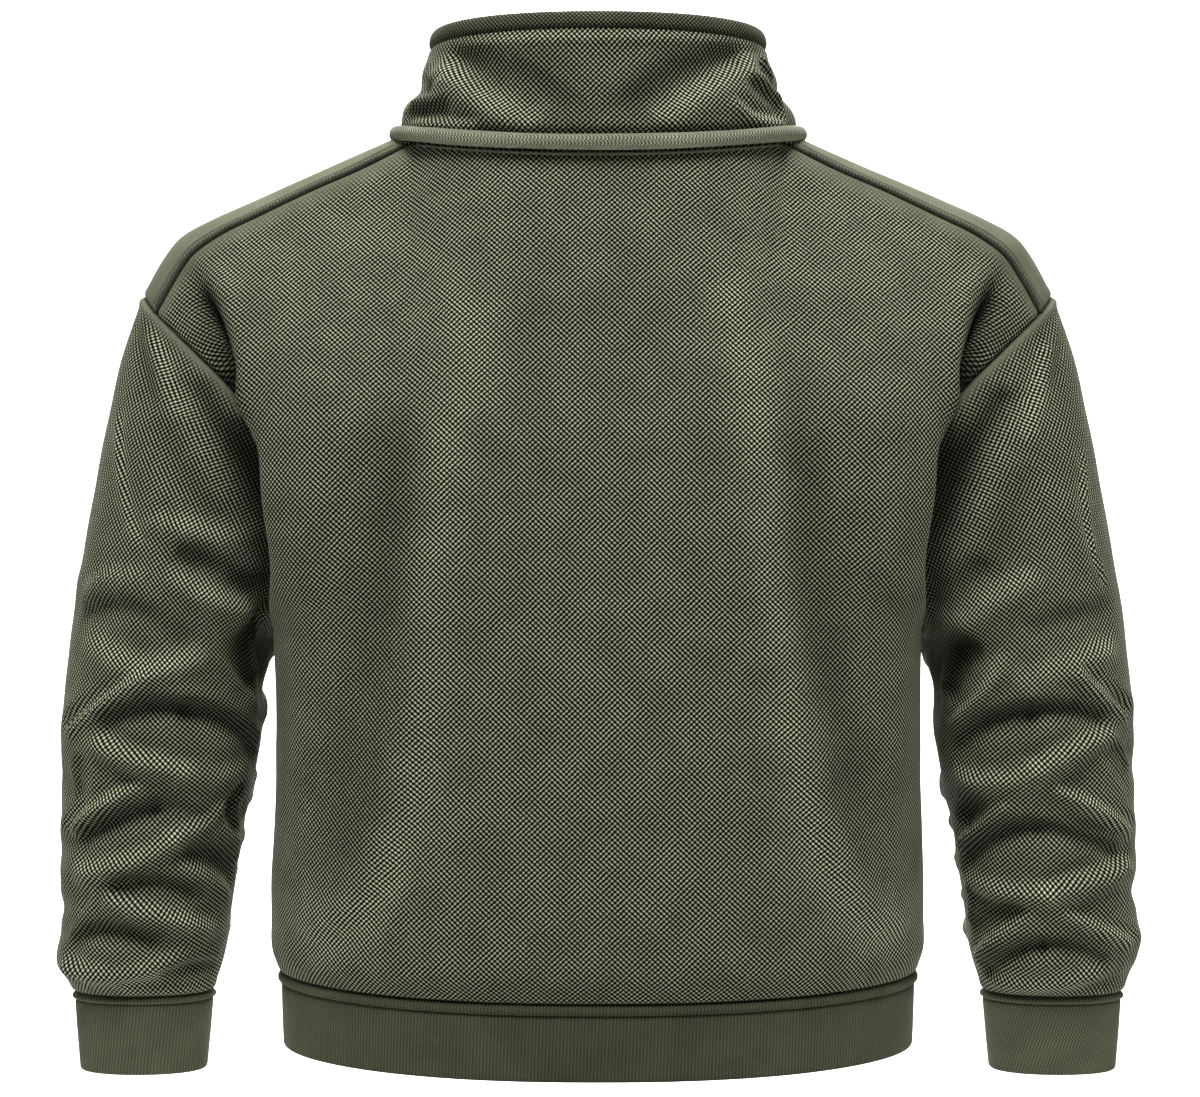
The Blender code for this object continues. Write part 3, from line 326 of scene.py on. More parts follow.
# Slow waves over all cloth: radians for each unit of x, y and z, and at the start
WAVES = (
    (2.1, 0.0, 1.3, 0.4),
    (0.0, -1.1, 1.7, 2.0),
    (1.9, 2.9, 0.8, 0.0),
    (0.7, 0.0, 3.3, 5.0),
)
# the waves' unit and height in metres
PANEL_WAVES = (0.045, 0.0010)
SLEEVE_WAVES = (0.030, 0.0008)
COLLAR_WAVES = (0.020, 0.0005)

# ---- Knits -------------------------------------------------------------------------------
# Patches are where dots run together, yarn is its fuzz, and clouds are soft changes of colour.
# Sizes, spacings, sway and relief are in metres, the others are shares. Columns is the share of
# upright ribs in the dots, and even the shade of cloth that lies smooth.
# The dark ground of each knit is partly painted shade between the raised dots.
BODY_KNIT = {
    "dot": (0.365, 0.381, 0.256), "ground": (0.002, 0.0025, 0.001),
    "dot_across": 0.0039, "dot_up": 0.00375, "patch_size": 0.011, "patch": 0.10,
    "sway": 0.0006, "sway_size": 0.005, "columns": 0.0,
    "yarn": 0.20, "yarn_size": 0.0012, "cloud": 0.10, "cloud_size": 0.030,
    "shade_from": -0.12, "shade_to": 1.05, "roughness": 0.93,
    "bump": 1.0, "relief": 0.00016, "sheen": 0.10, "even": 0.30,
}
COLLAR_KNIT = dict(BODY_KNIT, dot=(0.350, 0.366, 0.248))
EDGE_KNIT = dict(BODY_KNIT, dot_across=0.0031, dot_up=0.0030, dot=(0.150, 0.158, 0.103),
                 ground=(0.010, 0.011, 0.006))
ROLL_KNIT = dict(BODY_KNIT, dot_across=0.0026, dot_up=0.0026, dot=(0.345, 0.358, 0.262),
                 ground=(0.060, 0.064, 0.042))
RIB_KNIT = dict(BODY_KNIT, dot_across=0.0024, dot_up=0.0024, dot=(0.100, 0.107, 0.067),
                ground=(0.022, 0.025, 0.013), columns=0.35, patch_size=0.02,
                shade_from=-0.6, shade_to=1.0)
PATCH_RANGE = (0.36, 0.64)  # parts of each noise that are spread from least to most
YARN_RANGE = (0.25, 0.75)
CLOUD_RANGE = (0.30, 0.70)
NOISE_DETAIL = 3.0
EVEN_SPREAD = 0.07          # how far smooth cloth still varies in shade
DOT_GLOSS = 0.08            # a dot is less rough than its ground by this much
SMOOTH_RELIEF = 0.25        # and smooth cloth keeps this share of the relief
SPECULAR = 0.10
SHEEN_ROUGHNESS = 0.35
SHEEN_TINT = (0.62, 0.66, 0.50, 1.0)
# dark, for the thread itself and for painted shade between the raised stitches
THREAD_COLOUR = (0.040, 0.043, 0.028)
PIPING_COLOUR = (0.150, 0.158, 0.105)
THREAD_GRAIN = 900.0        # grains of the thread in a metre
THREAD_DARK = 0.6           # its darker fibres, as a share of its colour
THREAD_ROUGHNESS = (0.75, 0.9)  # of its dark and its light fibres
THREAD_RELIEF = 0.0003
THREAD_BUMP = 0.5
THREAD_SHEEN = 0.2
PAPER_GRAIN = 3.0
PAPER_DARK = 0.985
PAPER_ROUGHNESS = 0.9

# ---- Pieces of cloth -----------------------------------------------------------------------
# node, slot, material, width and length of its flat cut, flat area where the cut isn't a
# rectangle, what is sewn on it
PIECES = (
    ("back", "body_knit", "body_birdseye", 0.672, 0.641, 0.365, None),
    ("front", "body_knit", "body_birdseye", 0.840, 0.698, 0.403, "welt_stitches"),
    ("sleeve_left", "body_knit", "body_birdseye", 0.505, 0.510, 0.190, None),
    ("sleeve_right", "body_knit", "body_birdseye", 0.505, 0.510, 0.190, None),
    ("cuff_left", "rib_knit", "band_rib", 0.280, 0.059, None, None),
    ("cuff_right", "rib_knit", "band_rib", 0.280, 0.059, None, None),
    ("hem_band", "rib_knit", "band_rib", 1.156, 0.054, None, None),
    ("collar", "collar_knit", "collar_birdseye", 0.774, 0.116, 0.062, None),
    ("collar_band", "collar_knit", "collar_edge_knit", 0.690, 0.012, None, None),
    ("neck_roll", "roll_knit", "neck_roll_knit", 0.848, 0.032, None, "neck_piping"),
)

# ---- Studio ------------------------------------------------------------------------------
CAMERA_PLACE = (-0.0015, 1.9, -0.298)
CAMERA_LENS = 77.55
FLOOR_COLOUR = (0.66, 0.66, 0.66)
FLOOR_HEIGHT = -1.05
FLOOR_NEAR = 2.4
FLOOR_FAR = -2.2
FLOOR_CURVE = 1.2
FLOOR_WALL = 4.5
FLOOR_HALF_WIDTH = 5.0
FLOOR_STEPS = 16
SKY_STRENGTH = 0.04
# name, place, target, size, power, spread in degrees
LIGHTS = (
    ("key", (0.1, 2.05, 3.05), (0.0, 0.0, -0.35), 2.0, 41.0, 70.0),
    ("fill", (0.0, 3.6, 0.2), (0.0, 0.0, -0.35), 2.2, 1.2, 90.0),
    ("left_side", (2.5, 0.5, 0.8), (0.0, 0.0, -0.3), 1.2, 2.5, 90.0),
    ("right_side", (-2.5, 0.5, 0.8), (0.0, 0.0, -0.3), 1.2, 2.5, 90.0),
    ("backdrop", (0.0, -1.6, 2.6), (0.0, -3.4, -0.6), 2.4, 420.0, 150.0),
)

# ---- Folds -------------------------------------------------------------------------------
# A fold is a soft ridge (lift above 0) or trough (below 0) along a bent line through three
# places. On a sleeve a place is the angle round it (0 outer side, 90 behind, 180 beside
# the body, 270 in front) and the height.
# start angle, height, middle angle, height, end angle, height, half width, lift
LEFT_SLEEVE_FOLDS = (
    (80, -0.208, 97, -0.250, 135, -0.318, 0.012, -0.0200),
    (92, -0.195, 112, -0.232, 148, -0.280, 0.010, 0.0040),
    (50, -0.190, 62, -0.250, 80, -0.315, 0.012, 0.0030),
    (72, -0.272, 100, -0.283, 140, -0.288, 0.010, 0.0050),
    (86, -0.296, 115, -0.303, 155, -0.322, 0.010, -0.0070),
    (90, -0.309, 112, -0.329, 148, -0.342, 0.011, 0.0045),
    (10, -0.345, 45, -0.340, 82, -0.328, 0.013, -0.0045),
    (5, -0.325, 40, -0.318, 76, -0.314, 0.010, 0.0030),
    (128, -0.366, 158, -0.372, 172, -0.400, 0.013, -0.0120),
    (15, -0.430, 62, -0.402, 118, -0.374, 0.010, 0.0080),
    (130, -0.384, 152, -0.403, 175, -0.420, 0.008, 0.0050),
    (45, -0.426, 95, -0.410, 165, -0.442, 0.010, -0.0085),
    (40, -0.433, 90, -0.451, 150, -0.461, 0.010, 0.0075),
    (10, -0.462, 35, -0.468, 45, -0.480, 0.009, -0.0060),
    (15, -0.506, 52, -0.487, 90, -0.462, 0.009, 0.0080),
    (20, -0.520, 75, -0.492, 124, -0.480, 0.010, -0.0085),
    (140, -0.487, 160, -0.490, 175, -0.500, 0.010, -0.0070),
    (20, -0.532, 85, -0.518, 138, -0.482, 0.010, 0.0085),
    (140, -0.498, 156, -0.509, 178, -0.515, 0.008, 0.0045),
    (108, -0.517, 140, -0.518, 168, -0.536, 0.009, -0.0065),
    (70, -0.537, 105, -0.538, 140, -0.555, 0.009, -0.0060),
    (60, -0.547, 100, -0.561, 150, -0.578, 0.010, 0.0075),
    (-15, -0.560, 15, -0.563, 45, -0.552, 0.009, -0.0060),
    (-10, -0.588, 55, -0.574, 118, -0.584, 0.010, -0.0075),
    (-10, -0.600, 60, -0.604, 135, -0.586, 0.009, 0.0065),
    (100, -0.606, 130, -0.602, 165, -0.607, 0.008, -0.0050),
    (200, -0.300, 240, -0.285, 285, -0.278, 0.012, 0.0060),
    (195, -0.330, 240, -0.310, 280, -0.300, 0.012, -0.0075),
    (195, -0.372, 235, -0.345, 300, -0.330, 0.011, 0.0070),
    (190, -0.402, 240, -0.378, 310, -0.362, 0.011, -0.0080),
    (185, -0.422, 245, -0.408, 325, -0.424, 0.011, 0.0080),
    (200, -0.452, 255, -0.432, 335, -0.448, 0.010, -0.0080),
    (195, -0.470, 250, -0.470, 330, -0.500, 0.010, 0.0075),
    (190, -0.505, 245, -0.494, 325, -0.520, 0.010, -0.0080),
    (190, -0.520, 250, -0.530, 330, -0.536, 0.010, 0.0080),
    (200, -0.556, 255, -0.548, 325, -0.562, 0.010, -0.0075),
    (195, -0.580, 250, -0.572, 330, -0.588, 0.010, 0.0070),
    (200, -0.602, 255, -0.594, 320, -0.606, 0.008, -0.0050),
)
RIGHT_SLEEVE_FOLDS = (
    (80, -0.208, 98, -0.252, 136, -0.322, 0.012, -0.0200),
    (97, -0.200, 116, -0.245, 140, -0.290, 0.010, 0.0045),
    (75, -0.165, 80, -0.195, 90, -0.225, 0.010, 0.0030),
    (53, -0.235, 54, -0.290, 40, -0.325, 0.012, 0.0030),
    (110, -0.268, 125, -0.305, 150, -0.330, 0.013, -0.0055),
    (80, -0.308, 104, -0.330, 142, -0.354, 0.012, 0.0055),
    (30, -0.340, 60, -0.345, 88, -0.350, 0.014, -0.0045),
    (30, -0.362, 72, -0.378, 108, -0.384, 0.010, 0.0055),
    (120, -0.371, 150, -0.374, 170, -0.405, 0.014, -0.0120),
    (63, -0.388, 42, -0.402, 10, -0.416, 0.008, 0.0060),
    (160, -0.422, 130, -0.402, 108, -0.376, 0.009, 0.0060),
    (160, -0.444, 98, -0.413, 30, -0.418, 0.010, -0.0090),
    (155, -0.457, 108, -0.459, 45, -0.423, 0.010, 0.0085),
    (40, -0.440, 25, -0.450, 0, -0.462, 0.009, -0.0060),
    (86, -0.471, 58, -0.483, 10, -0.506, 0.009, 0.0080),
    (172, -0.486, 150, -0.490, 128, -0.494, 0.010, -0.0075),
    (168, -0.514, 132, -0.490, 106, -0.474, 0.008, 0.0050),
    (155, -0.524, 93, -0.496, 25, -0.520, 0.010, -0.0085),
    (165, -0.530, 98, -0.546, 5, -0.526, 0.010, 0.0085),
    (160, -0.550, 135, -0.556, 112, -0.556, 0.009, -0.0060),
    (35, -0.548, 10, -0.552, -20, -0.556, 0.009, -0.0055),
    (158, -0.597, 128, -0.580, 100, -0.562, 0.009, 0.0070),
    (84, -0.558, 52, -0.574, 0, -0.590, 0.009, 0.0070),
    (150, -0.606, 97, -0.583, 40, -0.596, 0.009, -0.0075),
    (150, -0.612, 100, -0.608, 45, -0.598, 0.009, 0.0060),
    (70, -0.612, 45, -0.614, 0, -0.612, 0.007, -0.0045),
    (205, -0.292, 245, -0.280, 290, -0.284, 0.012, 0.0060),
    (195, -0.325, 240, -0.312, 285, -0.296, 0.012, -0.0075),
    (190, -0.365, 240, -0.350, 300, -0.326, 0.011, 0.0070),
    (190, -0.398, 245, -0.384, 315, -0.360, 0.011, -0.0080),
    (188, -0.428, 245, -0.414, 330, -0.414, 0.011, 0.0080),
    (195, -0.448, 255, -0.440, 335, -0.440, 0.010, -0.0080),
    (190, -0.478, 250, -0.474, 335, -0.494, 0.010, 0.0075),
    (195, -0.500, 250, -0.500, 330, -0.516, 0.010, -0.0080),
    (185, -0.530, 250, -0.526, 335, -0.540, 0.010, 0.0080),
    (195, -0.552, 255, -0.552, 330, -0.566, 0.010, -0.0075),
    (195, -0.584, 250, -0.576, 330, -0.584, 0.010, 0.0070),
    (200, -0.604, 255, -0.598, 320, -0.602, 0.008, -0.0050),
)
# On a body panel a place is the distance across from the middle and the height, in metres.
# start across, height, middle across, height, end across, height, half width, lift
BACK_FOLDS = (
    (0.2930, -0.104, 0.2705, -0.146, 0.2580, -0.206, 0.010, -0.0200),
    (0.2840, -0.092, 0.2585, -0.140, 0.2470, -0.218, 0.007, 0.0050),
    (0.090, -0.090, 0.108, -0.330, 0.195, -0.560, 0.028, 0.0050),
    (0.135, -0.090, 0.150, -0.350, 0.212, -0.520, 0.024, -0.0050),
    (0.200, -0.140, 0.204, -0.320, 0.222, -0.440, 0.020, 0.0030),
)
FRONT_FOLDS = (
    (0.278, -0.110, 0.262, -0.150, 0.250, -0.210, 0.014, -0.0140),
    (0.085, -0.130, 0.102, -0.350, 0.180, -0.550, 0.028, 0.0050),
    (0.128, -0.130, 0.145, -0.370, 0.205, -0.530, 0.024, -0.0050),
    (0.196, -0.150, 0.198, -0.330, 0.216, -0.450, 0.020, 0.0030),
)
# On the collar a place is the angle from the centre back (the wearer's left is above 0)
# and the share of the way up.
# start angle, share, middle angle, share, end angle, share, half width, lift
COLLAR_FOLDS = (
    (58, 0.86, 42, 0.70, 22, 0.36, 0.010, -0.0050),
    (66, 0.78, 48, 0.48, 34, 0.20, 0.009, 0.0045),
    (100, 0.78, 86, 0.76, 74, 0.66, 0.008, 0.0022),
    (104, 0.60, 84, 0.56, 66, 0.40, 0.007, -0.0052),
    (104, 0.40, 84, 0.36, 66, 0.24, 0.008, 0.0030),
    (-60, 0.86, -42, 0.72, -20, 0.40, 0.010, -0.0050),
    (-68, 0.76, -50, 0.46, -36, 0.20, 0.009, 0.0045),
    (-100, 0.72, -86, 0.70, -74, 0.62, 0.008, 0.0025),
    (-104, 0.42, -84, 0.50, -68, 0.60, 0.007, -0.0055),
    (-104, 0.20, -84, 0.24, -68, 0.34, 0.008, 0.0025),
    (128, 0.84, 146, 0.64, 166, 0.34, 0.011, -0.0045),
    (118, 0.74, 138, 0.44, 150, 0.20, 0.010, 0.0040),
    (-126, 0.82, -144, 0.60, -164, 0.36, 0.011, -0.0045),
    (-116, 0.72, -136, 0.46, -150, 0.22, 0.010, 0.0040),
)
FOLD_STEPS = 14             # straight steps that stand for a fold's bent line
FOLD_ENDS = 0.3             # share of a fold's length over which it dies away at each end
FOLD_END_LEAST = 0.25       # and what is left of its height there
SEAM_FADE = 0.011           # folds die away over this distance from a seam

# A crease is a line where the cloth faces up and catches light (strength above 0) or faces
# down and lies dark (below 0). Besides tilting the cloth, it paints that light or shade into
# the cloth's colour. Its places are given as for a fold.
# start angle, height, middle angle, height, end angle, height, half width, strength
LEFT_SLEEVE_CREASES = (
    (53, -0.170, 77, -0.220, 108, -0.281, 0.0068, -1.10),
    (73, -0.198, 93, -0.249, 145, -0.335, 0.0068, -1.00),
    (100, -0.263, 123, -0.307, 161, -0.349, 0.0085, -1.00),
    (52, -0.174, 73, -0.221, 97, -0.265, 0.0068, 0.70),
    (30, -0.136, 46, -0.171, 61, -0.210, 0.0046, 0.90),
    (15, -0.128, 33, -0.155, 50, -0.199, 0.0059, -0.60),
    (52, -0.196, 75, -0.246, 99, -0.277, 0.0093, -0.50),
    (26, -0.191, 50, -0.256, 70, -0.298, 0.0042, 0.85),
    (65, -0.274, 89, -0.283, 108, -0.292, 0.0076, 0.85),
    (83, -0.296, 103, -0.307, 136, -0.328, 0.0085, -1.10),
    (114, -0.315, 130, -0.329, 155, -0.347, 0.0093, -0.90),
    (85, -0.309, 105, -0.328, 142, -0.344, 0.0076, 0.90),
    (31, -0.328, 57, -0.315, 78, -0.320, 0.0085, 0.60),
    (28, -0.346, 63, -0.336, 89, -0.345, 0.0085, -0.75),
    (83, -0.343, 95, -0.350, 108, -0.363, 0.0093, -0.35),
    (42, -0.351, 83, -0.380, 121, -0.367, 0.0110, 1.00),
    (152, -0.355, 142, -0.370, 161, -0.403, 0.0110, -1.60),
    (131, -0.374, 143, -0.392, 164, -0.411, 0.0038, 0.70),
    (28, -0.433, 61, -0.407, 93, -0.380, 0.0059, 1.70),
    (57, -0.426, 85, -0.410, 118, -0.411, 0.0080, -1.06),
    (102, -0.409, 136, -0.418, 175, -0.449, 0.0085, -0.97),
    (56, -0.429, 86, -0.446, 121, -0.457, 0.0076, 0.88),
    (105, -0.455, 132, -0.461, 167, -0.451, 0.0101, 0.63),
    (46, -0.481, 43, -0.462, 49, -0.444, 0.0051, -0.62),
    (52, -0.489, 55, -0.473, 58, -0.452, 0.0038, 0.42),
    (58, -0.444, 72, -0.454, 89, -0.463, 0.0051, -0.44),
    (34, -0.506, 62, -0.482, 91, -0.462, 0.0059, 1.43),
    (42, -0.512, 74, -0.490, 105, -0.481, 0.0076, -1.01),
    (93, -0.481, 115, -0.484, 137, -0.491, 0.0076, -0.53),
    (164, -0.472, 155, -0.486, 167, -0.507, 0.0068, -0.88),
    (145, -0.494, 155, -0.503, 173, -0.514, 0.0038, 0.59),
    (41, -0.531, 86, -0.521, 115, -0.500, 0.0085, 1.13),
    (102, -0.506, 127, -0.495, 142, -0.477, 0.0068, 0.76),
    (118, -0.514, 142, -0.519, 176, -0.535, 0.0085, -0.84),
    (113, -0.524, 133, -0.530, 173, -0.555, 0.0068, 0.76),
    (69, -0.539, 99, -0.536, 139, -0.552, 0.0076, -0.92),
    (71, -0.543, 100, -0.558, 158, -0.576, 0.0076, 0.97),
    (45, -0.568, 59, -0.555, 59, -0.541, 0.0038, 0.67),
    (31, -0.532, 37, -0.546, 48, -0.558, 0.0046, -0.53),
    (37, -0.589, 77, -0.571, 116, -0.587, 0.0076, -1.01),
    (30, -0.594, 80, -0.605, 130, -0.587, 0.0076, 1.01),
    (31, -0.604, 39, -0.609, 51, -0.613, 0.0046, -0.70),
    (108, -0.607, 132, -0.601, 167, -0.602, 0.0068, -0.75),
    (77, -0.617, 114, -0.619, 163, -0.620, 0.0059, 0.59),
)
RIGHT_SLEEVE_CREASES = (
    (55, -0.180, 74, -0.218, 114, -0.299, 0.0072, -1.10),
    (74, -0.202, 102, -0.271, 161, -0.364, 0.0076, -1.00),
    (54, -0.185, 74, -0.227, 105, -0.288, 0.0068, 0.80),
    (33, -0.145, 46, -0.181, 64, -0.226, 0.0051, 1.00),
    (15, -0.134, 29, -0.155, 42, -0.186, 0.0042, -0.45),
    (62, -0.231, 83, -0.274, 105, -0.318, 0.0101, -0.50),
    (29, -0.218, 47, -0.285, 37, -0.329, 0.0042, 0.85),
    (99, -0.305, 114, -0.315, 145, -0.344, 0.0101, -0.75),
    (82, -0.313, 105, -0.332, 136, -0.357, 0.0093, 0.85),
    (36, -0.335, 71, -0.343, 99, -0.354, 0.0085, -0.40),
    (120, -0.364, 139, -0.375, 155, -0.411, 0.0118, -1.60),
    (114, -0.368, 124, -0.396, 158, -0.427, 0.0046, 1.10),
    (34, -0.361, 82, -0.383, 108, -0.392, 0.0110, 1.00),
    (28, -0.421, 55, -0.400, 71, -0.381, 0.0059, 1.70),
    (92, -0.412, 123, -0.420, 151, -0.447, 0.0085, -1.06),
    (48, -0.421, 80, -0.411, 105, -0.412, 0.0076, -1.06),
    (89, -0.451, 121, -0.463, 158, -0.455, 0.0085, 0.76),
    (45, -0.423, 77, -0.440, 105, -0.457, 0.0076, 0.84),
    (34, -0.461, 42, -0.445, 55, -0.437, 0.0051, -0.70),
    (55, -0.439, 70, -0.451, 77, -0.469, 0.0046, -0.53),
    (34, -0.478, 50, -0.459, 60, -0.446, 0.0038, 0.42),
    (21, -0.509, 66, -0.481, 90, -0.466, 0.0059, 1.43),
    (130, -0.475, 149, -0.483, 160, -0.503, 0.0085, -0.97),
    (114, -0.477, 140, -0.497, 176, -0.519, 0.0051, 0.92),
    (96, -0.495, 128, -0.504, 167, -0.527, 0.0076, -1.01),
    (38, -0.520, 78, -0.503, 105, -0.496, 0.0072, -1.01),
    (90, -0.545, 123, -0.545, 170, -0.535, 0.0085, 0.80),
    (27, -0.520, 74, -0.535, 105, -0.547, 0.0076, 0.88),
    (115, -0.554, 136, -0.560, 167, -0.581, 0.0068, -0.70),
    (161, -0.545, 158, -0.558, 164, -0.578, 0.0046, -0.62),
    (107, -0.556, 133, -0.576, 170, -0.599, 0.0051, 0.92),
    (31, -0.587, 68, -0.570, 91, -0.556, 0.0059, 1.34),
    (37, -0.530, 50, -0.539, 58, -0.551, 0.0046, -0.53),
    (54, -0.541, 68, -0.549, 80, -0.557, 0.0046, -0.53),
    (99, -0.583, 127, -0.589, 164, -0.611, 0.0068, -1.06),
    (55, -0.599, 83, -0.587, 110, -0.583, 0.0068, -1.01),
    (58, -0.598, 104, -0.613, 161, -0.611, 0.0068, 0.80),
    (36, -0.608, 57, -0.614, 75, -0.613, 0.0046, -0.62),
)
# start across, height, middle across, height, end across, height, half width, strength
BACK_CREASES = (
    (0.117, -0.415, 0.108, -0.260, 0.080, -0.095, 0.017, 0.80),
    (0.141, -0.512, 0.126, -0.458, 0.1155, -0.392, 0.016, 1.15),
    (0.220, -0.574, 0.168, -0.551, 0.138, -0.492, 0.015, 1.55),
    (0.205, -0.500, 0.148, -0.400, 0.144, -0.180, 0.028, -0.42),
    (0.198, -0.545, 0.168, -0.500, 0.150, -0.430, 0.016, -0.35),
    (-0.085, -0.085, -0.113, -0.230, -0.127, -0.400, 0.017, 0.80),
    (-0.1265, -0.378, -0.137, -0.442, -0.154, -0.508, 0.016, 1.15),
    (-0.150, -0.488, -0.180, -0.549, -0.226, -0.574, 0.015, 1.55),
    (-0.146, -0.180, -0.158, -0.400, -0.207, -0.500, 0.026, -0.42),
    (-0.160, -0.430, -0.178, -0.500, -0.204, -0.540, 0.014, -0.35),
    (-0.060, -0.120, 0.010, -0.140, 0.060, -0.118, 0.022, -0.22),
    (-0.230, -0.560, -0.228, -0.450, -0.228, -0.340, 0.010, -0.25),
    (0.228, -0.340, 0.228, -0.450, 0.230, -0.560, 0.010, -0.25),
)
# the same, for both halves of the back
SHOULDER_CREASES = (
    (0.2530, -0.240, 0.2640, -0.165, 0.2900, -0.102, 0.006, -2.00),
    (0.2590, -0.214, 0.2725, -0.158, 0.2960, -0.110, 0.012, -0.45),
)
FRONT_CREASES = (
    (0.112, -0.430, 0.104, -0.290, 0.082, -0.140, 0.018, 0.70),
    (0.206, -0.566, 0.142, -0.510, 0.114, -0.400, 0.016, 1.10),
    (0.210, -0.530, 0.155, -0.420, 0.145, -0.200, 0.028, -0.45),
    (0.2560, -0.215, 0.2640, -0.170, 0.280, -0.130, 0.008, -1.20),
)
# start angle, share, middle angle, share, end angle, share, half width, strength
COLLAR_CREASES = (
    (14, 0.15, 35, 0.42, 60, 0.87, 0.0103, 1.05),
    (3, 0.26, 27, 0.70, 57, 0.93, 0.0110, -0.55),
    (-5, 0.22, 10, 0.60, 30, 0.82, 0.0125, -0.30),
    (0, 0.32, 9, 0.55, 24, 0.79, 0.0037, 0.25),
    (-62, 0.95, -34, 0.50, -15, 0.18, 0.0103, 1.05),
    (-56, 0.94, -28, 0.73, -5, 0.30, 0.0110, -0.60),
    (-30, 0.82, -16, 0.60, -3, 0.24, 0.0125, -0.25),
    (55, 0.45, 65, 0.60, 74, 0.74, 0.0059, -1.00),
    (44, 0.34, 59, 0.32, 73, 0.30, 0.0066, -0.95),
    (51, 0.60, 60, 0.47, 71, 0.41, 0.0044, 0.90),
    (34, 0.15, 46, 0.17, 67, 0.21, 0.0051, 0.90),
    (-71, 0.56, -68, 0.69, -65, 0.83, 0.0059, -1.00),
    (-68, 0.31, -59, 0.47, -50, 0.60, 0.0066, -0.95),
    (-67, 0.20, -50, 0.23, -42, 0.40, 0.0059, 1.20),
    (-71, 0.41, -65, 0.57, -57, 0.67, 0.0037, 0.90),
    (-61, 0.96, 0, 0.93, 62, 0.93, 0.0037, 1.00),
)


# ---- Curves ------------------------------------------------------------------------------
def smooth_through(stations, shapes, at):
    """A smooth curve through one shape for each station, read at other stations."""
    stations = np.asarray(stations, dtype=float)
    shapes = np.asarray(shapes, dtype=float)
    at = np.asarray(at, dtype=float)
    slopes = np.gradient(shapes, stations, axis=0, edge_order=2)
    first = np.clip(np.searchsorted(stations, at, side="right") - 1, 0, len(stations) - 2)
    step = stations[first + 1] - stations[first]
    spread = (-1,) + (1,) * (shapes.ndim - 1)
    t = ((at - stations[first]) / step).reshape(spread)
    step = step.reshape(spread)
    start = (2 * t**3 - 3 * t**2 + 1) * shapes[first] + (t**3 - 2 * t**2 + t) * step * slopes[first]
    end = (3 * t**2 - 2 * t**3) * shapes[first + 1] + (t**3 - t**2) * step * slopes[first + 1]
    return start + end


def lengths_along(curve):
    """The distance from the first point of a curve to each of its points."""
    steps = np.linalg.norm(np.diff(curve, axis=0), axis=1)
    return np.concatenate([[0.0], np.cumsum(steps)])


def evenly(curve, cells):
    """The curve cut into cells of equal length."""
    lengths = lengths_along(curve)
    marks = np.linspace(0.0, lengths[-1], cells + 1)
    return np.column_stack([np.interp(marks, lengths, curve[:, k]) for k in range(3)])


def finely(points):
    """A smooth curve with many points through a few."""
    points = np.asarray(points, dtype=float)
    lengths = lengths_along(points)
    return smooth_through(lengths, points, np.linspace(0.0, lengths[-1], FINE_POINTS))


def soft_step(value):
    """0 below 0, 1 above 1, and a smooth rise between."""
    value = np.clip(value, 0.0, 1.0)
    return value * value * (3.0 - 2.0 * value)


# ---- Guide lines of the garment ------------------------------------------------------------
def armhole(angle):
    """A point of the left armhole seam. The angle is above 0 behind and below 0 in front."""
    turn = math.radians(angle)
    drawn_in = ARMHOLE_DRAW * abs(math.sin(turn)) ** ARMHOLE_DRAW_POWER
    width = ARMHOLE_CENTRE_WIDTH + ARMHOLE_LEAN * math.cos(turn) - drawn_in
    depth = ARMHOLE_DEPTH * math.sin(turn)
    height = ARMHOLE_CENTRE_HEIGHT + ARMHOLE_RISE * math.cos(turn)
    return np.array([width, depth, height])


def oval(angle, half_width, depth_back, depth_front, roundness):
    """A level oval point at an angle from the centre back, the wearer's left above 0."""
    turn = math.radians(angle)
    across = math.sin(turn)
    along = math.cos(turn)
    size = (abs(across) ** roundness + abs(along) ** roundness) ** (-1.0 / roundness)
    depth = depth_back if along > 0 else depth_front
    return np.array([half_width * across * size, depth * along * size])


def neck_middle(angle):
    """The middle of the neck roll."""
    across, depth = oval(angle, NECK_HALF_WIDTH, NECK_DEPTH_BACK, NECK_DEPTH_FRONT, NECK_ROUNDNESS)
    drop, reach = NECK_DROP_BACK, NECK_DEPTH_BACK
    if depth <= 0:
        drop, reach = NECK_DROP_FRONT, NECK_DEPTH_FRONT
    height = NECK_HEIGHT_SIDE - drop * (abs(depth) / reach) ** NECK_DROP_POWER
    return np.array([across, depth, height])


def neck_outward(angle):
    """The level direction that points out of the neck."""
    before = neck_middle(angle - 1.0)
    after = neck_middle(angle + 1.0)
    out = np.array([-(after[1] - before[1]), after[0] - before[0], 0.0])
    return out / np.linalg.norm(out)


def neck_seam(angle):
    """The seam of the body and the collar, behind the neck roll."""
    sideways = abs(neck_middle(angle)[0]) / NECK_HALF_WIDTH
    drop = NECK_SEAM_DROP + (NECK_SEAM_DROP_SIDE - NECK_SEAM_DROP) * sideways**NECK_SEAM_DROP_POWER
    return neck_middle(angle) - NECK_SEAM_INSET * neck_outward(angle) - np.array([0.0, 0.0, drop])


def neck_angles(first, last, cells):
    """Angles that cut the neck seam between two angles into equal cells."""
    angles = np.linspace(first, last, FINE_POINTS)
    lengths = lengths_along(np.array([neck_seam(angle) for angle in angles]))
    return np.interp(np.linspace(0.0, lengths[-1], cells + 1), lengths, angles)


def neck_stretch(first, last, cells):
    """The neck seam between two angles."""
    return np.array([neck_seam(angle) for angle in neck_angles(first, last, cells)])


def shoulder_seam():
    """The seam from the neck to the armhole, behind the shoulder."""
    line = finely([neck_seam(NECK_CORNER), *SHOULDER_SEAM, armhole(SEAM_ANGLE)])
    return evenly(line, SHOULDER_CELLS)


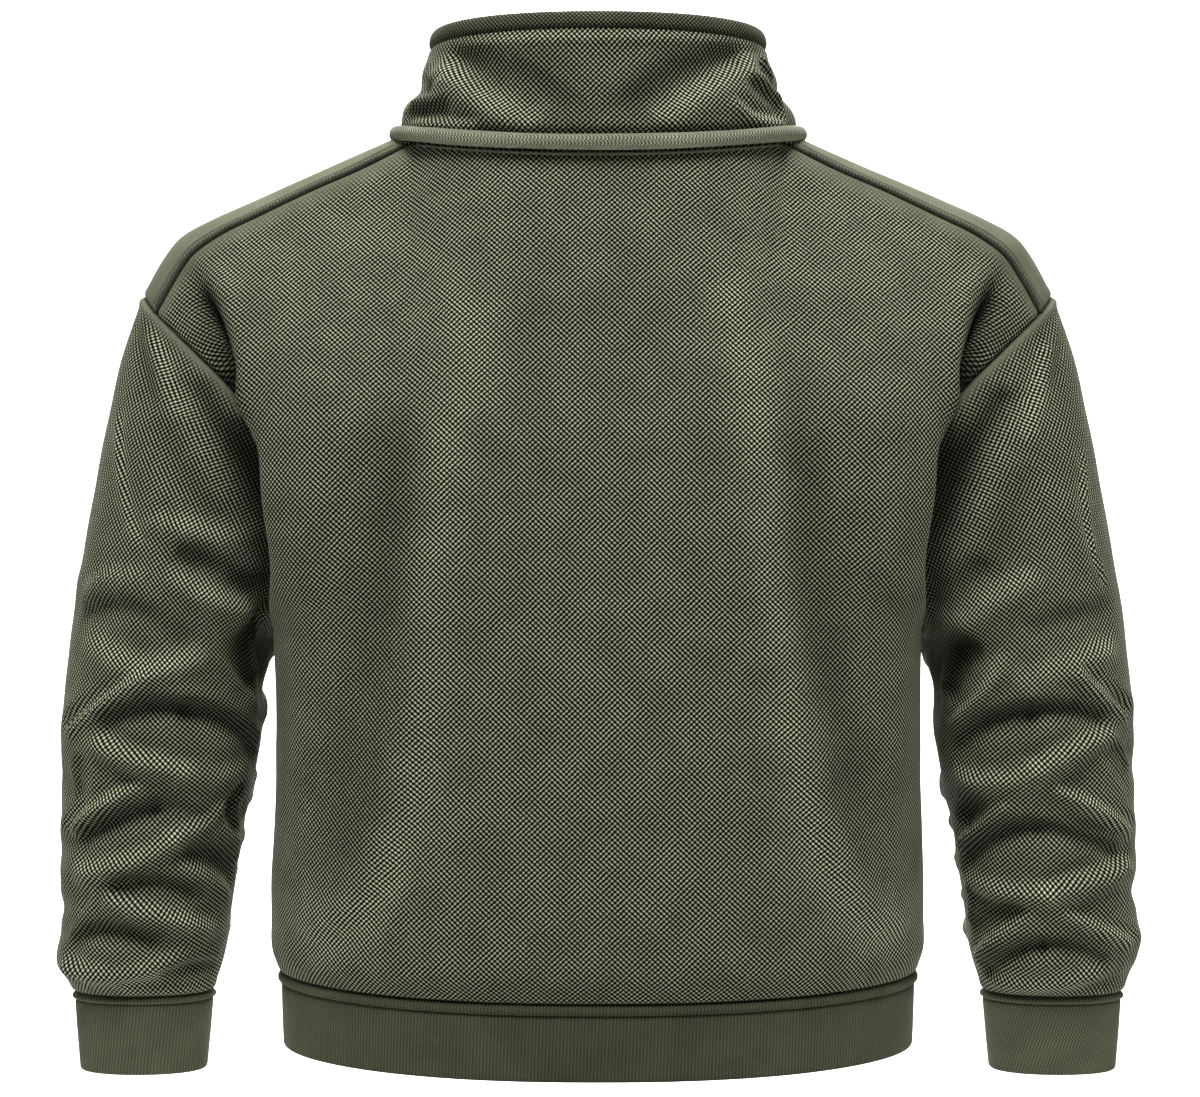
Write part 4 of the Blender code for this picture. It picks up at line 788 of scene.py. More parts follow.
# ---- Body panels -------------------------------------------------------------------------
def level_row(edge, depth, height, roundness, cells, fold_width=None):
    """Half a row of a panel, from its middle to its edge point."""
    turn = np.linspace(0.0, math.pi / 2, ROW_POINTS)
    share = np.sin(turn) ** (2.0 / roundness)
    width = edge[0] if fold_width is None else fold_width
    back_in = soft_step((np.degrees(turn) - FOLD_TURN) / (90.0 - FOLD_TURN))
    across = width * share - (width - edge[0]) * back_in
    depths = edge[1] + (depth - edge[1]) * np.cos(turn).clip(0.0) ** (2.0 / roundness)
    heights = height + (edge[2] - height) * share**ROW_RISE_POWER
    return evenly(np.column_stack([across, depths, heights]), cells)


def panel_keys(side, cells):
    """The stations and half rows that a body panel passes through. Side is 1 behind."""
    stations = []
    rows = []
    underarm = SIDE_ROWS[-1][0]
    for height, half_width, depth_back, depth_front, drop, roundness in SIDE_ROWS:
        depth = depth_back if side > 0 else -depth_front
        middle = height - (drop if side > 0 else 0.0)
        edge = np.array([half_width, 0.0, height])
        stations.append(height - underarm)
        rows.append(level_row(edge, depth, middle, roundness, cells))
    table = BACK_ROWS if side > 0 else FRONT_ROWS
    for angle, height, depth, roundness, width in table:
        edge = armhole(side * angle)
        stations.append((180.0 - angle) * ARMHOLE_STEP)
        rows.append(level_row(edge, side * depth, height, roundness, cells, width))
    return stations, rows


def ridge_row():
    """Half a row of the front: round the neck below its edge, then along the shoulder ridge."""
    around = []
    for angle in neck_angles(180.0, YOKE_ANGLE, NECK_CELLS_FRONT):
        point = neck_seam(angle)
        forward = max(0.0, -point[1] / NECK_DEPTH_FRONT)
        drop = YOKE_DROP_SIDE + (YOKE_DROP_FRONT - YOKE_DROP_SIDE) * forward
        spread = 1.0 + YOKE_SPREAD
        around.append([point[0] * spread, point[1] * spread, point[2] - drop])
    ridge = finely([around[-1], *SHOULDER_RIDGE, armhole(0.0)])
    return np.vstack([around, evenly(ridge, SHOULDER_CELLS)[1:]])


def panel_grid(keys, marks, angles):
    """Half a panel. Its edge follows the armhole at the marks that have an angle."""
    stations, rows = keys
    half = smooth_through(stations, rows, marks)
    cells = half.shape[1] - 1
    hold = (np.arange(cells + 1) / cells) ** EDGE_HOLD_POWER
    for row, angle in enumerate(angles):
        if angle is not None:
            half[row] += np.outer(hold, armhole(angle) - half[row, -1])
    return half


def side_marks():
    """Stations from the hem seam to the underarm, closer where the body folds over the hem."""
    low = SIDE_ROWS[0][0] - SIDE_ROWS[-1][0]
    share = np.linspace(0.0, 1.0, SIDE_CELLS + 1) ** SIDE_MARK_POWER
    return list(low * (1.0 - share))


def half_panel(side, neck_cells, armhole_cells):
    """The wearer's left half of the back (side 1) or of the front (-1), from its middle out."""
    stations, rows = panel_keys(side, neck_cells + SHOULDER_CELLS)
    middle = 0.0 if side > 0 else 180.0
    top = np.vstack([neck_stretch(middle, NECK_CORNER, neck_cells), shoulder_seam()[1:]])
    if side < 0:
        stations.append(180.0 * ARMHOLE_STEP)
        rows.append(ridge_row())
    stations.append((180.0 - side * SEAM_ANGLE) * ARMHOLE_STEP)
    rows.append(top)
    angles = np.linspace(side * 180.0, SEAM_ANGLE, armhole_cells + 1)[1:]
    marks = side_marks() + [(180.0 - side * angle) * ARMHOLE_STEP for angle in angles]
    half = panel_grid((stations, rows), marks, [None] * (SIDE_CELLS + 1) + list(angles))
    half[-1] = top
    return half


def back_panel():
    """The back, from the wearer's right to the left, hem to neck and shoulder seams."""
    half = half_panel(1, NECK_CELLS_BACK, ARMHOLE_CELLS_BACK)
    return np.concatenate([half[:, :0:-1] * MIRROR, half], axis=1)


def front_panel(back):
    """The front, from the wearer's left to the right, up to the seams behind the shoulders."""
    half = half_panel(-1, NECK_CELLS_FRONT, ARMHOLE_CELLS_FRONT)
    half[: SIDE_CELLS + 1, -1] = back[: SIDE_CELLS + 1, -1]
    return np.concatenate([half[:, ::-1], half[:, 1:] * MIRROR], axis=1)


# ---- Tubes -------------------------------------------------------------------------------
def sleeve_angles():
    """Angles round the sleeve, from the underarm up behind, over the shoulder and down in front."""
    behind = np.linspace(180.0, SEAM_ANGLE, ARMHOLE_CELLS_BACK + 1)
    before = np.linspace(SEAM_ANGLE, -180.0, ARMHOLE_CELLS_FRONT + 1)
    return np.concatenate([behind, before[1:-1]])


def sleeve_ring(row, angles):
    """One ring of the left sleeve from its outer and inner points."""
    outer_width, outer_height, inner_width, inner_height, middle, half_depth, draw = row
    turn = np.radians(angles)
    size = np.abs(np.cos(turn)) ** SLEEVE_ROUNDNESS + np.abs(np.sin(turn)) ** SLEEVE_ROUNDNESS
    size = size ** (-1.0 / SLEEVE_ROUNDNESS)
    along = np.cos(turn) * size
    widths = (outer_width + inner_width) / 2 + (outer_width - inner_width) / 2 * along
    widths -= draw * np.sin(turn) ** 2
    depths = middle + half_depth * np.sin(turn) * size
    heights = (outer_height + inner_height) / 2 + (outer_height - inner_height) / 2 * along
    return np.column_stack([widths, depths, heights])


def sleeve_tube():
    """The left sleeve from the armhole down to the cuff seam."""
    angles = sleeve_angles()
    rings = [np.array([armhole(angle) for angle in angles])]
    rings += [sleeve_ring(row, angles) for row in SLEEVE_RINGS]
    centres = np.array([ring.mean(axis=0) for ring in rings])
    stations = lengths_along(centres)
    upper = np.linspace(0.0, ELBOW_SHARE, ELBOW_CELLS + 1)
    lower = np.linspace(ELBOW_SHARE, 1.0, SLEEVE_CELLS - ELBOW_CELLS + 1)[1:]
    marks = np.concatenate([upper, lower]) * stations[-1]
    return smooth_through(stations, rings, marks)


def collar_height(angle, share):
    """The height of the collar at an angle from the centre back and a share of the way up."""
    bottom = neck_seam(angle)[2]
    along = math.cos(math.radians(angle))
    end = COLLAR_TOP_BACK if along > 0 else COLLAR_TOP_FRONT
    top = COLLAR_TOP_SIDE + (end - COLLAR_TOP_SIDE) * along * along
    return bottom + (top - bottom) * share


def collar_angles():
    """Angles round the neck, from the centre front over the right side to the back and on."""
    front = neck_angles(-180.0, -NECK_CORNER, NECK_CELLS_FRONT)[:-1]
    back_right = neck_angles(-NECK_CORNER, 0.0, NECK_CELLS_BACK)
    back_left = neck_angles(0.0, NECK_CORNER, NECK_CELLS_BACK)[1:]
    front_left = neck_angles(NECK_CORNER, 180.0, NECK_CELLS_FRONT)[1:-1]
    return np.concatenate([front, back_right, back_left, front_left])


def collar_ring(share, angles):
    """One ring of the collar. It starts on the neck seam and comes out above the roll."""
    shares = [row[0] for row in COLLAR_ROWS]
    half_width, back, front = smooth_through(shares, [row[1:] for row in COLLAR_ROWS], [share])[0]
    at_seam = 1.0 - soft_step(share / COLLAR_SPRING)
    points = []
    for angle in angles:
        across, depth = oval(angle, half_width, back, front, COLLAR_ROUNDNESS)
        free = np.array([across, depth, collar_height(angle, share)])
        seam = neck_seam(angle)
        seam[2] = free[2]
        points.append(free + (seam - free) * at_seam)
    return np.array(points)


def collar_tube():
    """The funnel collar from the neck seam up to the seam of its edge band."""
    shares = np.linspace(0.0, 1.0, COLLAR_CELLS + 1)
    return np.array([collar_ring(share, collar_angles()) for share in shares])


# ---- Folds -------------------------------------------------------------------------------
def beside_line(across, up, line, scale, whole_turn=None):
    """The distance of each place from a bent line, above 0 on its upper side, and how far along."""
    a0, u0, a1, u1, a2, u2 = line
    share = np.linspace(0.0, 1.0, FOLD_STEPS + 1)
    middle_a = 2.0 * a1 - (a0 + a2) / 2.0
    middle_u = 2.0 * u1 - (u0 + u2) / 2.0
    line_a = (1 - share) ** 2 * a0 + 2 * share * (1 - share) * middle_a + share**2 * a2
    line_u = (1 - share) ** 2 * u0 + 2 * share * (1 - share) * middle_u + share**2 * u2
    nearest = np.full(across.shape, np.inf)
    side = np.ones(across.shape)
    place = np.zeros(across.shape)
    for step in range(FOLD_STEPS):
        away = across - line_a[step]
        if whole_turn:
            away = (away + whole_turn / 2) % whole_turn - whole_turn / 2
        away = away * scale[0]
        rise = (up - line_u[step]) * scale[1]
        run_a = (line_a[step + 1] - line_a[step]) * scale[0]
        run_u = (line_u[step + 1] - line_u[step]) * scale[1]
        t = np.clip((away * run_a + rise * run_u) / (run_a**2 + run_u**2), 0.0, 1.0)
        distance = np.hypot(away - t * run_a, rise - t * run_u)
        closer = distance < nearest
        nearest = np.where(closer, distance, nearest)
        side = np.where(closer, np.sign(run_a * rise - run_u * away), side)
        place = np.where(closer, (step + t) / FOLD_STEPS, place)
    return nearest * side, place


def fold_lift(across, up, folds, scale, whole_turn=None):
    """The height of all folds at each place. Scale turns the across unit into metres."""
    lift = np.zeros(across.shape)
    for *line, half_width, height in folds:
        distance, place = beside_line(across, up, line, scale, whole_turn)
        ends = soft_step(place / FOLD_ENDS) * soft_step((1.0 - place) / FOLD_ENDS)
        ends = FOLD_END_LEAST + (1.0 - FOLD_END_LEAST) * ends
        lift += height * ends * np.exp(-((distance / half_width) ** 2))
    return lift


def crease_form(across, up, creases, scale, whole_turn=None):
    """The height that all creases give each place, and the painted light and shade they put in its
    colour.
    """
    lift = np.zeros(across.shape)
    tone = np.ones(across.shape)
    for *line, half_width, light in creases:
        distance, place = beside_line(across, up, line, scale, whole_turn)
        ends = soft_step(place / CREASE_ENDS) * soft_step((1.0 - place) / CREASE_ENDS)
        near = light * ends * np.exp(-((distance / half_width) ** 2))
        lift -= CREASE_SLOPE * min(1.0, CREASE_NARROW / half_width) ** 2 * distance * near
        # painted light along a bright crease and painted shade along a dark one, in the colour
        tone *= np.maximum(1.0 + near * (CREASE_PAINTED_LIGHT if light > 0 else CREASE_PAINTED_SHADE), TONE_LEAST)
    return lift, np.minimum(tone, TONE_MOST)


def lengths_over(points, axis):
    """The distance of each point of a grid from its first row (axis 0) or column (axis 1)."""
    steps = np.linalg.norm(np.diff(points, axis=axis), axis=2)
    start = np.zeros_like(np.take(steps, [0], axis=axis))
    return np.concatenate([start, np.cumsum(steps, axis=axis)], axis=axis)


def fade_from_seams(points, sides):
    """1 inside a grid, falling to 0 at its bottom and top, and at its sides if it has any."""
    up = lengths_over(points, 0)
    fade = soft_step(up / SEAM_FADE) * soft_step((up[-1] - up) / SEAM_FADE)
    if sides:
        along = lengths_over(points, 1)
        fade *= soft_step(along / SEAM_FADE) * soft_step((along[:, -1:] - along) / SEAM_FADE)
    return fade


def mirrored(folds):
    """The folds or creases of a panel on both of its halves."""
    other = [(-e, f, -c, d, -a, b, width, light) for a, b, c, d, e, f, width, light in folds]
    return tuple(folds) + tuple(other)


def all_round(creases, turn, rise):
    """The creases of a tube behind, and again in front, at a turn less their angle and raised."""
    front = [(turn - e, f + rise, turn - c, d + rise, turn - a, b + rise, width, light)
             for a, b, c, d, e, f, width, light in creases]
    return tuple(creases) + tuple(front)


# ---- Shells ------------------------------------------------------------------------------
def grid_normals(points, closed):
    """The outward direction at each point of a grid."""
    up = np.gradient(points, axis=0)
    if closed:
        across = np.roll(points, -1, axis=1) - np.roll(points, 1, axis=1)
    else:
        across = np.gradient(points, axis=1)
    normals = np.cross(up, across)
    return normals / np.linalg.norm(normals, axis=2, keepdims=True)


def wrapped(grid, closed):
    """A closed grid with its first column again at its end. An open one stays as it is."""
    return np.concatenate([grid, grid[:, :1]], axis=1) if closed else grid


def cloth_places(points, closed, zero_column):
    """Where each point lies in the flat cloth: metres across from one column, metres up."""
    grid = wrapped(points, closed)
    across = lengths_over(grid, 1)
    across = across - across[:, zero_column][:, None]
    return np.dstack([across, lengths_over(grid, 0)])


def relaxed(points, places):
    """Places in the flat cloth whose distances are as near as can be to those of the form."""
    rows = np.unique(np.append(np.arange(0, len(points), RELAX_STEP), len(points) - 1))
    columns = np.unique(np.append(np.arange(0, points.shape[1], RELAX_STEP), points.shape[1] - 1))
    form = points[np.ix_(rows, columns)]
    start = places[np.ix_(rows, columns)]
    flat = start.copy()
    every, head, tail = slice(None), slice(None, -1), slice(1, None)
    # pairs of neighbours up, across and along both diagonals, with the distance they should have
    pairs = [((head, every), (tail, every), np.diff(start[:, :, 1], axis=0)),
             ((every, head), (every, tail), np.diff(start[:, :, 0], axis=1))]
    for a, b in (((head, head), (tail, tail)), ((head, tail), (tail, head))):
        pairs.append((a, b, np.linalg.norm(form[b] - form[a], axis=2)))
    for _ in range(RELAX_ROUNDS):
        move = np.zeros_like(flat)
        for a, b, rest in pairs:
            gap = flat[b] - flat[a]
            length = np.linalg.norm(gap, axis=2)
            pull = gap * (0.5 * (length - rest) / length)[:, :, None]
            move[a] += pull
            move[b] -= pull
        flat += RELAX_PULL * move
    move = flat - start
    every_row = np.arange(len(points))
    every_column = np.arange(points.shape[1])
    result = places.copy()
    for k in range(2):
        wide = np.array([np.interp(every_column, columns, row) for row in move[:, :, k]])
        result[:, :, k] += np.array([np.interp(every_row, rows, line) for line in wide.T]).T
    return result


def with_stations(channels, distances):
    """The grid with rows at these distances from its last row, the other rows spread anew."""
    away = np.flip(lengths_over(np.flip(channels[:, :, :3], axis=0), 0), axis=0)
    near = channels[-1 - STATION_BLEND:, :, :3]
    step = np.median(np.linalg.norm(np.diff(near, axis=0), axis=2))
    beyond = away[-1 - STATION_BLEND]
    far = max(2, int(np.ceil((np.median(beyond) - distances[-1]) / step)))
    rows = np.empty((far + len(distances),) + channels.shape[1:])
    for column in range(channels.shape[1]):
        spread = np.linspace(distances[-1], beyond[column], far + 1)[1:]
        marks = np.concatenate([distances, spread])
        lengths = away[::-1, column]
        for channel in range(channels.shape[2]):
            rows[:, column, channel] = np.interp(marks, lengths, channels[::-1, column, channel])
    return np.concatenate([channels[:-1 - STATION_BLEND], rows[::-1]], axis=0)


def turned(channels):
    """The grid with rows and columns exchanged."""
    return channels.transpose(1, 0, 2)


class Shell:
    """The outer surface of one cloth piece as channels: point, direction, tone (seam lines, and
    painted light and shade), place.
    """

    def __init__(self, node, points, closed, zero_column, lift=None, tone=None):
        self.node = node
        self.closed = closed
        plain = points
        if lift is not None:
            plain = points + grid_normals(points, closed) * lift[:, :, None]
        if tone is None:
            tone = np.ones(points.shape[:2])
        self.channels = np.dstack([plain, grid_normals(plain, closed), tone])
        self.places = cloth_places(points, closed, zero_column)
        if not closed or lift is not None:
            self.places = relaxed(wrapped(points, closed), self.places)

    def edge_places(self):
        """Row and column of each point on the edge of the grid."""
        rows, columns = self.channels.shape[:2]
        places = {(row, column) for row in (0, rows - 1) for column in range(columns)}
        if not self.closed:
            places |= {(row, column) for row in range(rows) for column in (0, columns - 1)}
        return places

    def wrap(self):
        """Join the places to the points, now that the directions at the seams are shared."""
        self.channels = np.dstack([wrapped(self.channels, self.closed), self.places])

    def refine(self, top=SEAM_STATIONS):
        """Add close rows and columns along the seams."""
        self.wrap()
        grid = with_stations(self.channels, top)
        grid = with_stations(grid[::-1], SEAM_STATIONS)[::-1]
        if not self.closed:
            grid = with_stations(turned(grid), SEAM_STATIONS)
            grid = turned(with_stations(grid[::-1], SEAM_STATIONS)[::-1])
        self.channels = grid

    def points(self):
        """The points of the form, before the seams are turned in."""
        return self.channels[:, :, :3]

    def normals(self):
        """The outward direction at each point."""
        normals = self.channels[:, :, 3:6]
        return normals / np.linalg.norm(normals, axis=2, keepdims=True)

    def tint(self, share):
        """Make the cloth's colour lighter or darker by a share at each point, for seam lines and for
        painted light and shade.
        """
        self.channels[:, :, 6] *= share

    def away(self, edge):
        """The distance of each point from an edge: top, bottom, left or right."""
        axis = 0 if edge in ("top", "bottom") else 1
        if edge in ("bottom", "left"):
            return lengths_over(self.points(), axis)
        return np.flip(lengths_over(np.flip(self.points(), axis=axis), axis), axis=axis)

    def sew(self, edges, puff=SEAM_PUFF):
        """Darken the seam line at these edges. Returns the outward steps of the sewn cloth."""
        steps = np.zeros(self.channels.shape[:2])
        for edge in edges:
            steps += seam_edge(self.away(edge), puff)
            self.tint(seam_line(self.away(edge)))
        return steps


def share_seam_normals(shells):
    """Give shells that meet at a seam the same direction there."""
    totals = {}
    for shell in shells:
        for place in shell.edge_places():
            key = tuple(np.round(shell.channels[place][:3], 6))
            totals[key] = totals.get(key, np.zeros(3)) + shell.channels[place][3:6]
    for shell in shells:
        for place in shell.edge_places():
            total = totals[tuple(np.round(shell.channels[place][:3], 6))]
            shell.channels[place][3:6] = total / np.linalg.norm(total)


def seam_edge(away, puff=SEAM_PUFF):
    """The form of a sewn edge: turned in at the seam, a little proud beside it."""
    beside = np.exp(-(((away - SEAM_PUFF_AT) / SEAM_PUFF_WIDTH) ** 2))
    return puff * beside - SEAM_DIP * np.exp(-((away / SEAM_ROUND) ** 2))


def seam_line(away):
    """How light the cloth is beside a seam: dark in the line where it turns in."""
    return 1.0 - SEAM_DARK * np.exp(-((away / SEAM_LINE) ** 2))


def painted_fold_shade(lift):
    """Painted shade: the cloth's colour darker down in a fold, where little light comes."""
    return 1.0 - DEPTH_PAINTED_SHADE * soft_step(-lift / DEPTH_WHOLE)


def quads(table):
    """The corners of each cell of a grid: lower left, lower right, upper right, upper left."""
    corners = (table[:-1, :-1], table[:-1, 1:], table[1:, 1:], table[1:, :-1])
    return np.column_stack([corner.ravel() for corner in corners])


def shell_faces(rows, columns, closed):
    """The faces of both sides and the rims of a shell, by points and by places in the cloth."""
    shown = columns - 1 if closed else columns
    row, column = np.meshgrid(np.arange(rows), np.arange(columns), indexing="ij")
    points = row * shown + column % shown
    places = row * columns + column
    inside = rows * shown
    faces = [quads(points)[:, (0, 3, 2, 1)], quads(points) + inside]
    corners = [quads(places)[:, (0, 3, 2, 1)], quads(places)]
    rims = [(np.s_[0], 1), (np.s_[-1], -1)]
    if not closed:
        rims += [(np.s_[:, 0], -1), (np.s_[:, -1], 1)]
    for line, turn in rims:
        first, second = points[line][:-1], points[line][1:]
        faces.append(np.column_stack([first, second, second + inside, first + inside])[:, ::turn])
        first, second = places[line][:-1], places[line][1:]
        corners.append(np.column_stack([first, second, second, first])[:, ::turn])
    return np.concatenate(faces), np.concatenate(corners)


def add_shell(shell, steps, walls=BODY_WALL, smooth=0.0):
    """The cloth piece of a shell: its outer and inner face, its rims and its places."""
    outer = shell.points() + shell.normals() * steps[:, :, None]
    inner = shell.points() + shell.normals() * (steps - walls)[:, :, None]
    rows, columns = outer.shape[:2]
    shown = columns - 1 if shell.closed else columns
    faces, corners = shell_faces(rows, columns, shell.closed)
    points = np.concatenate([outer[:, :shown].reshape(-1, 3), inner[:, :shown].reshape(-1, 3)])
    mesh = bpy.data.meshes.new(shell.node + "_cloth")
    mesh.from_pydata(points.tolist(), [], faces.tolist())
    layer = mesh.uv_layers.new(name="cloth")
    places = shell.channels[:, :, 7:9].reshape(-1, 2)
    layer.data.foreach_set("uv", places[corners.ravel()].astype(np.float32).ravel())
    # the tone holds the piece's seam lines and its painted light and shade
    for label, values in (("tone", shell.channels[:, :, 6]), ("smooth", smooth)):
        values = np.broadcast_to(values, (rows, columns))[:, :shown]
        attribute = mesh.attributes.new(label, "FLOAT", "POINT")
        attribute.data.foreach_set("value", np.tile(values.ravel(), 2).astype(np.float32))
    slot, material = next(row[1:3] for row in PIECES if row[0] == shell.node)
    mesh.materials.append(bpy.data.materials[material])
    mesh.shade_smooth()
    mesh.set_sharp_from_angle(angle=math.radians(SHARP_ANGLE))
    return add_piece(mesh, shell.node)


def add_piece(mesh, node=None):
    """A piece of the garment from its mesh."""
    piece = bpy.data.objects.new(mesh.name, mesh)
    bpy.context.scene.collection.objects.link(piece)
    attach(piece, "root")
    if node:
        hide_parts(node)
    return piece


# ---- Materials ---------------------------------------------------------------------------
class Nodes:
    """Short calls for building a material's node tree."""

    def __init__(self, name):
        self.material = bpy.data.materials.new(name)
        self.material.use_nodes = True
        self.tree = self.material.node_tree
        self.shader = self.tree.nodes["Principled BSDF"]

    def join(self, source, target):
        self.tree.links.new(source, target)

    def set(self, **values):
        """Set or join the shader's inputs. A name's underscores stand for spaces."""
        for name, value in values.items():
            socket = self.shader.inputs[name.replace("_", " ")]
            if isinstance(value, bpy.types.NodeSocket):
                self.join(value, socket)
            else:
                socket.default_value = value

    def add(self, kind, **settings):
        """A new node with these settings."""
        node = self.tree.nodes.new(kind)
        for key, value in settings.items():
            setattr(node, key, value)
        return node

    def math(self, operation, first, second=None):
        """The result of a sum on outputs or numbers."""
        node = self.add("ShaderNodeMath", operation=operation)
        for socket, value in zip(node.inputs, (first, second)):
            if isinstance(value, bpy.types.NodeSocket):
                self.join(value, socket)
            elif value is not None:
                socket.default_value = value
        return node.outputs[0]

    def noise(self, vector, scale, detail=2.0):
        """Soft noise around a half. Scale is how many of its grains go into a metre."""
        node = self.add("ShaderNodeTexNoise")
        node.inputs["Scale"].default_value = scale
        node.inputs["Detail"].default_value = detail
        self.join(vector, node.inputs["Vector"])
        return node.outputs["Fac"]

    def mixed(self, share, dark, light):
        """A colour between two."""
        node = self.add("ShaderNodeMix", data_type="RGBA")
        self.join(share, node.inputs["Factor"])
        node.inputs["A"].default_value = dark + (1.0,)
        node.inputs["B"].default_value = light + (1.0,)
        return node.outputs["Result"]

    def between(self, value, low, high, to_low=0.0, to_high=1.0):
        """The value spread smoothly from one range to another, and held at its ends."""
        node = self.add("ShaderNodeMapRange", interpolation_type="SMOOTHSTEP")
        self.join(value, node.inputs["Value"])
        node.inputs["From Min"].default_value = low
        node.inputs["From Max"].default_value = high
        node.inputs["To Min"].default_value = to_low
        node.inputs["To Max"].default_value = to_high
        return node.outputs["Result"]

    def relief(self, height, strength, distance):
        """Raise the surface by a height."""
        bump = self.add("ShaderNodeBump")
        bump.inputs["Strength"].default_value = strength
        bump.inputs["Distance"].default_value = distance
        self.join(height, bump.inputs["Height"])
        self.set(Normal=bump.outputs["Normal"])


def add_knit(name, knit):
    """A bird's-eye knit: raised dots on a dark ground that is partly painted shade between them, in
    the places of the flat cloth.

    The dots stand in a chequered lattice, which is the product of two waves, or the half sum
    of two slanted ones. Slow noise favours one slant over the other, so that in patches the
    dots run together into short slanted lines, as the real stitches do.
    """
    nodes = Nodes(name)
    place = nodes.add("ShaderNodeUVMap", uv_map="cloth").outputs["UV"]
    parts = nodes.add("ShaderNodeSeparateXYZ")
    nodes.join(place, parts.inputs[0])
    sway = nodes.noise(place, 1.0 / knit["sway_size"])
    sway = nodes.math("MULTIPLY", nodes.math("SUBTRACT", sway, 0.5), knit["sway"])
    across = nodes.math("ADD", parts.outputs["X"], sway)
    up = nodes.math("ADD", parts.outputs["Y"], sway)
    across = nodes.math("MULTIPLY", across, 2.0 * math.pi / knit["dot_across"])
    up = nodes.math("MULTIPLY", up, 2.0 * math.pi / knit["dot_up"])
    rising = nodes.math("COSINE", nodes.math("SUBTRACT", across, up))
    falling = nodes.math("COSINE", nodes.math("ADD", across, up))
    favour = nodes.noise(place, 1.0 / knit["patch_size"])
    favour = nodes.between(favour, *PATCH_RANGE, 0.5 - knit["patch"], 0.5 + knit["patch"])
    dots = nodes.math("ADD", nodes.math("MULTIPLY", rising, favour),
                      nodes.math("MULTIPLY", falling, nodes.math("SUBTRACT", 1.0, favour)))
    if knit["columns"] > 0.0:
        column = nodes.math("MULTIPLY", nodes.math("COSINE", across), knit["columns"])
        dots = nodes.math("ADD", nodes.math("MULTIPLY", dots, 1.0 - knit["columns"]), column)
    yarn = nodes.noise(place, 1.0 / knit["yarn_size"], NOISE_DETAIL)
    worn = nodes.noise(place, 1.0 / knit["cloud_size"], NOISE_DETAIL)
    height = nodes.math("ADD", dots, nodes.math("MULTIPLY", yarn, knit["yarn"]))
    shade = nodes.between(height, knit["shade_from"], knit["shade_to"])
    smooth = nodes.add("ShaderNodeAttribute", attribute_name="smooth").outputs["Fac"]
    tone = nodes.add("ShaderNodeAttribute", attribute_name="tone").outputs["Fac"]
    even = nodes.between(yarn, *YARN_RANGE, knit["even"] - EVEN_SPREAD, knit["even"] + EVEN_SPREAD)
    away = nodes.math("MULTIPLY", nodes.math("SUBTRACT", even, shade), smooth)
    shade = nodes.math("ADD", shade, away)
    colour = nodes.mixed(shade, knit["ground"], knit["dot"])
    cloud = nodes.between(worn, *CLOUD_RANGE, 1.0 - knit["cloud"], 1.0 + knit["cloud"])
    # the colour is scaled by the soft clouds and by the tone: dark seam lines, and painted light and
    # shade
    toned = nodes.add("ShaderNodeVectorMath", operation="SCALE")
    nodes.join(colour, toned.inputs[0])
    nodes.join(nodes.math("MULTIPLY", cloud, tone), toned.inputs["Scale"])
    rough = nodes.between(shade, 0.0, 1.0, knit["roughness"], knit["roughness"] - DOT_GLOSS)
    nodes.set(Base_Color=toned.outputs[0], Roughness=rough, Specular_IOR_Level=SPECULAR,
              Sheen_Weight=knit["sheen"], Sheen_Roughness=SHEEN_ROUGHNESS, Sheen_Tint=SHEEN_TINT)
    raised = nodes.math("MULTIPLY", height, nodes.between(smooth, 0.0, 1.0, 1.0, SMOOTH_RELIEF))
    nodes.relief(raised, knit["bump"], knit["relief"])
    nodes.material.diffuse_color = knit["dot"] + (1.0,)


def add_thread(name, colour):
    """Sewing thread with a fine grain of fibres."""
    nodes = Nodes(name)
    grain = nodes.noise(nodes.add("ShaderNodeTexCoord").outputs["Object"], THREAD_GRAIN)
    darker = tuple(THREAD_DARK * part for part in colour)
    nodes.set(Base_Color=nodes.mixed(nodes.between(grain, *CLOUD_RANGE), darker, colour),
              Roughness=nodes.between(grain, 0.0, 1.0, *THREAD_ROUGHNESS), Sheen_Weight=THREAD_SHEEN)
    nodes.relief(grain, THREAD_BUMP, THREAD_RELIEF)


def add_paper(name, colour):
    """A plain matt surface for the floor, with the faintest grain."""
    nodes = Nodes(name)
    grain = nodes.noise(nodes.add("ShaderNodeTexCoord").outputs["Object"], PAPER_GRAIN)
    darker = tuple(PAPER_DARK * part for part in colour)
    nodes.set(Base_Color=nodes.mixed(grain, darker, colour), Roughness=PAPER_ROUGHNESS,
              Specular_IOR_Level=SPECULAR)


# ---- Bands -------------------------------------------------------------------------------
def band_profile(table):
    """A profile read closely: distance, outward step and wall at short cells."""
    table = np.array(table)
    marks = []
    for first, last in zip(table[:-1, 0], table[1:, 0]):
        pieces = max(1, math.ceil((last - first) / BAND_CELL))
        marks += list(np.linspace(first, last, pieces, endpoint=False))
    marks = np.array(marks + [table[-1, 0]])
    return np.column_stack([marks] + [np.interp(marks, table[:, 0], table[:, k]) for k in (1, 2)])


def band_shell(node, seam_ring, table, direction, taper=1.0, shift=(0.0, 0.0, 0.0)):
    """A band that starts at a seam ring and runs down (-1) or up (1) from it."""
    profile = band_profile(table)
    middle = seam_ring.mean(axis=0)
    rings = []
    for distance in profile[:, 0]:
        share = distance / profile[-1, 0]
        size = 1.0 + (taper - 1.0) * share
        ring = middle + (seam_ring - middle) * np.array([size, size, 1.0])
        rings.append(ring + np.array(shift) * share + np.array([0.0, 0.0, direction * distance]))
    shell = Shell(node, np.array(rings)[::direction], True, 0)
    shell.profile = profile[::direction]
    return shell


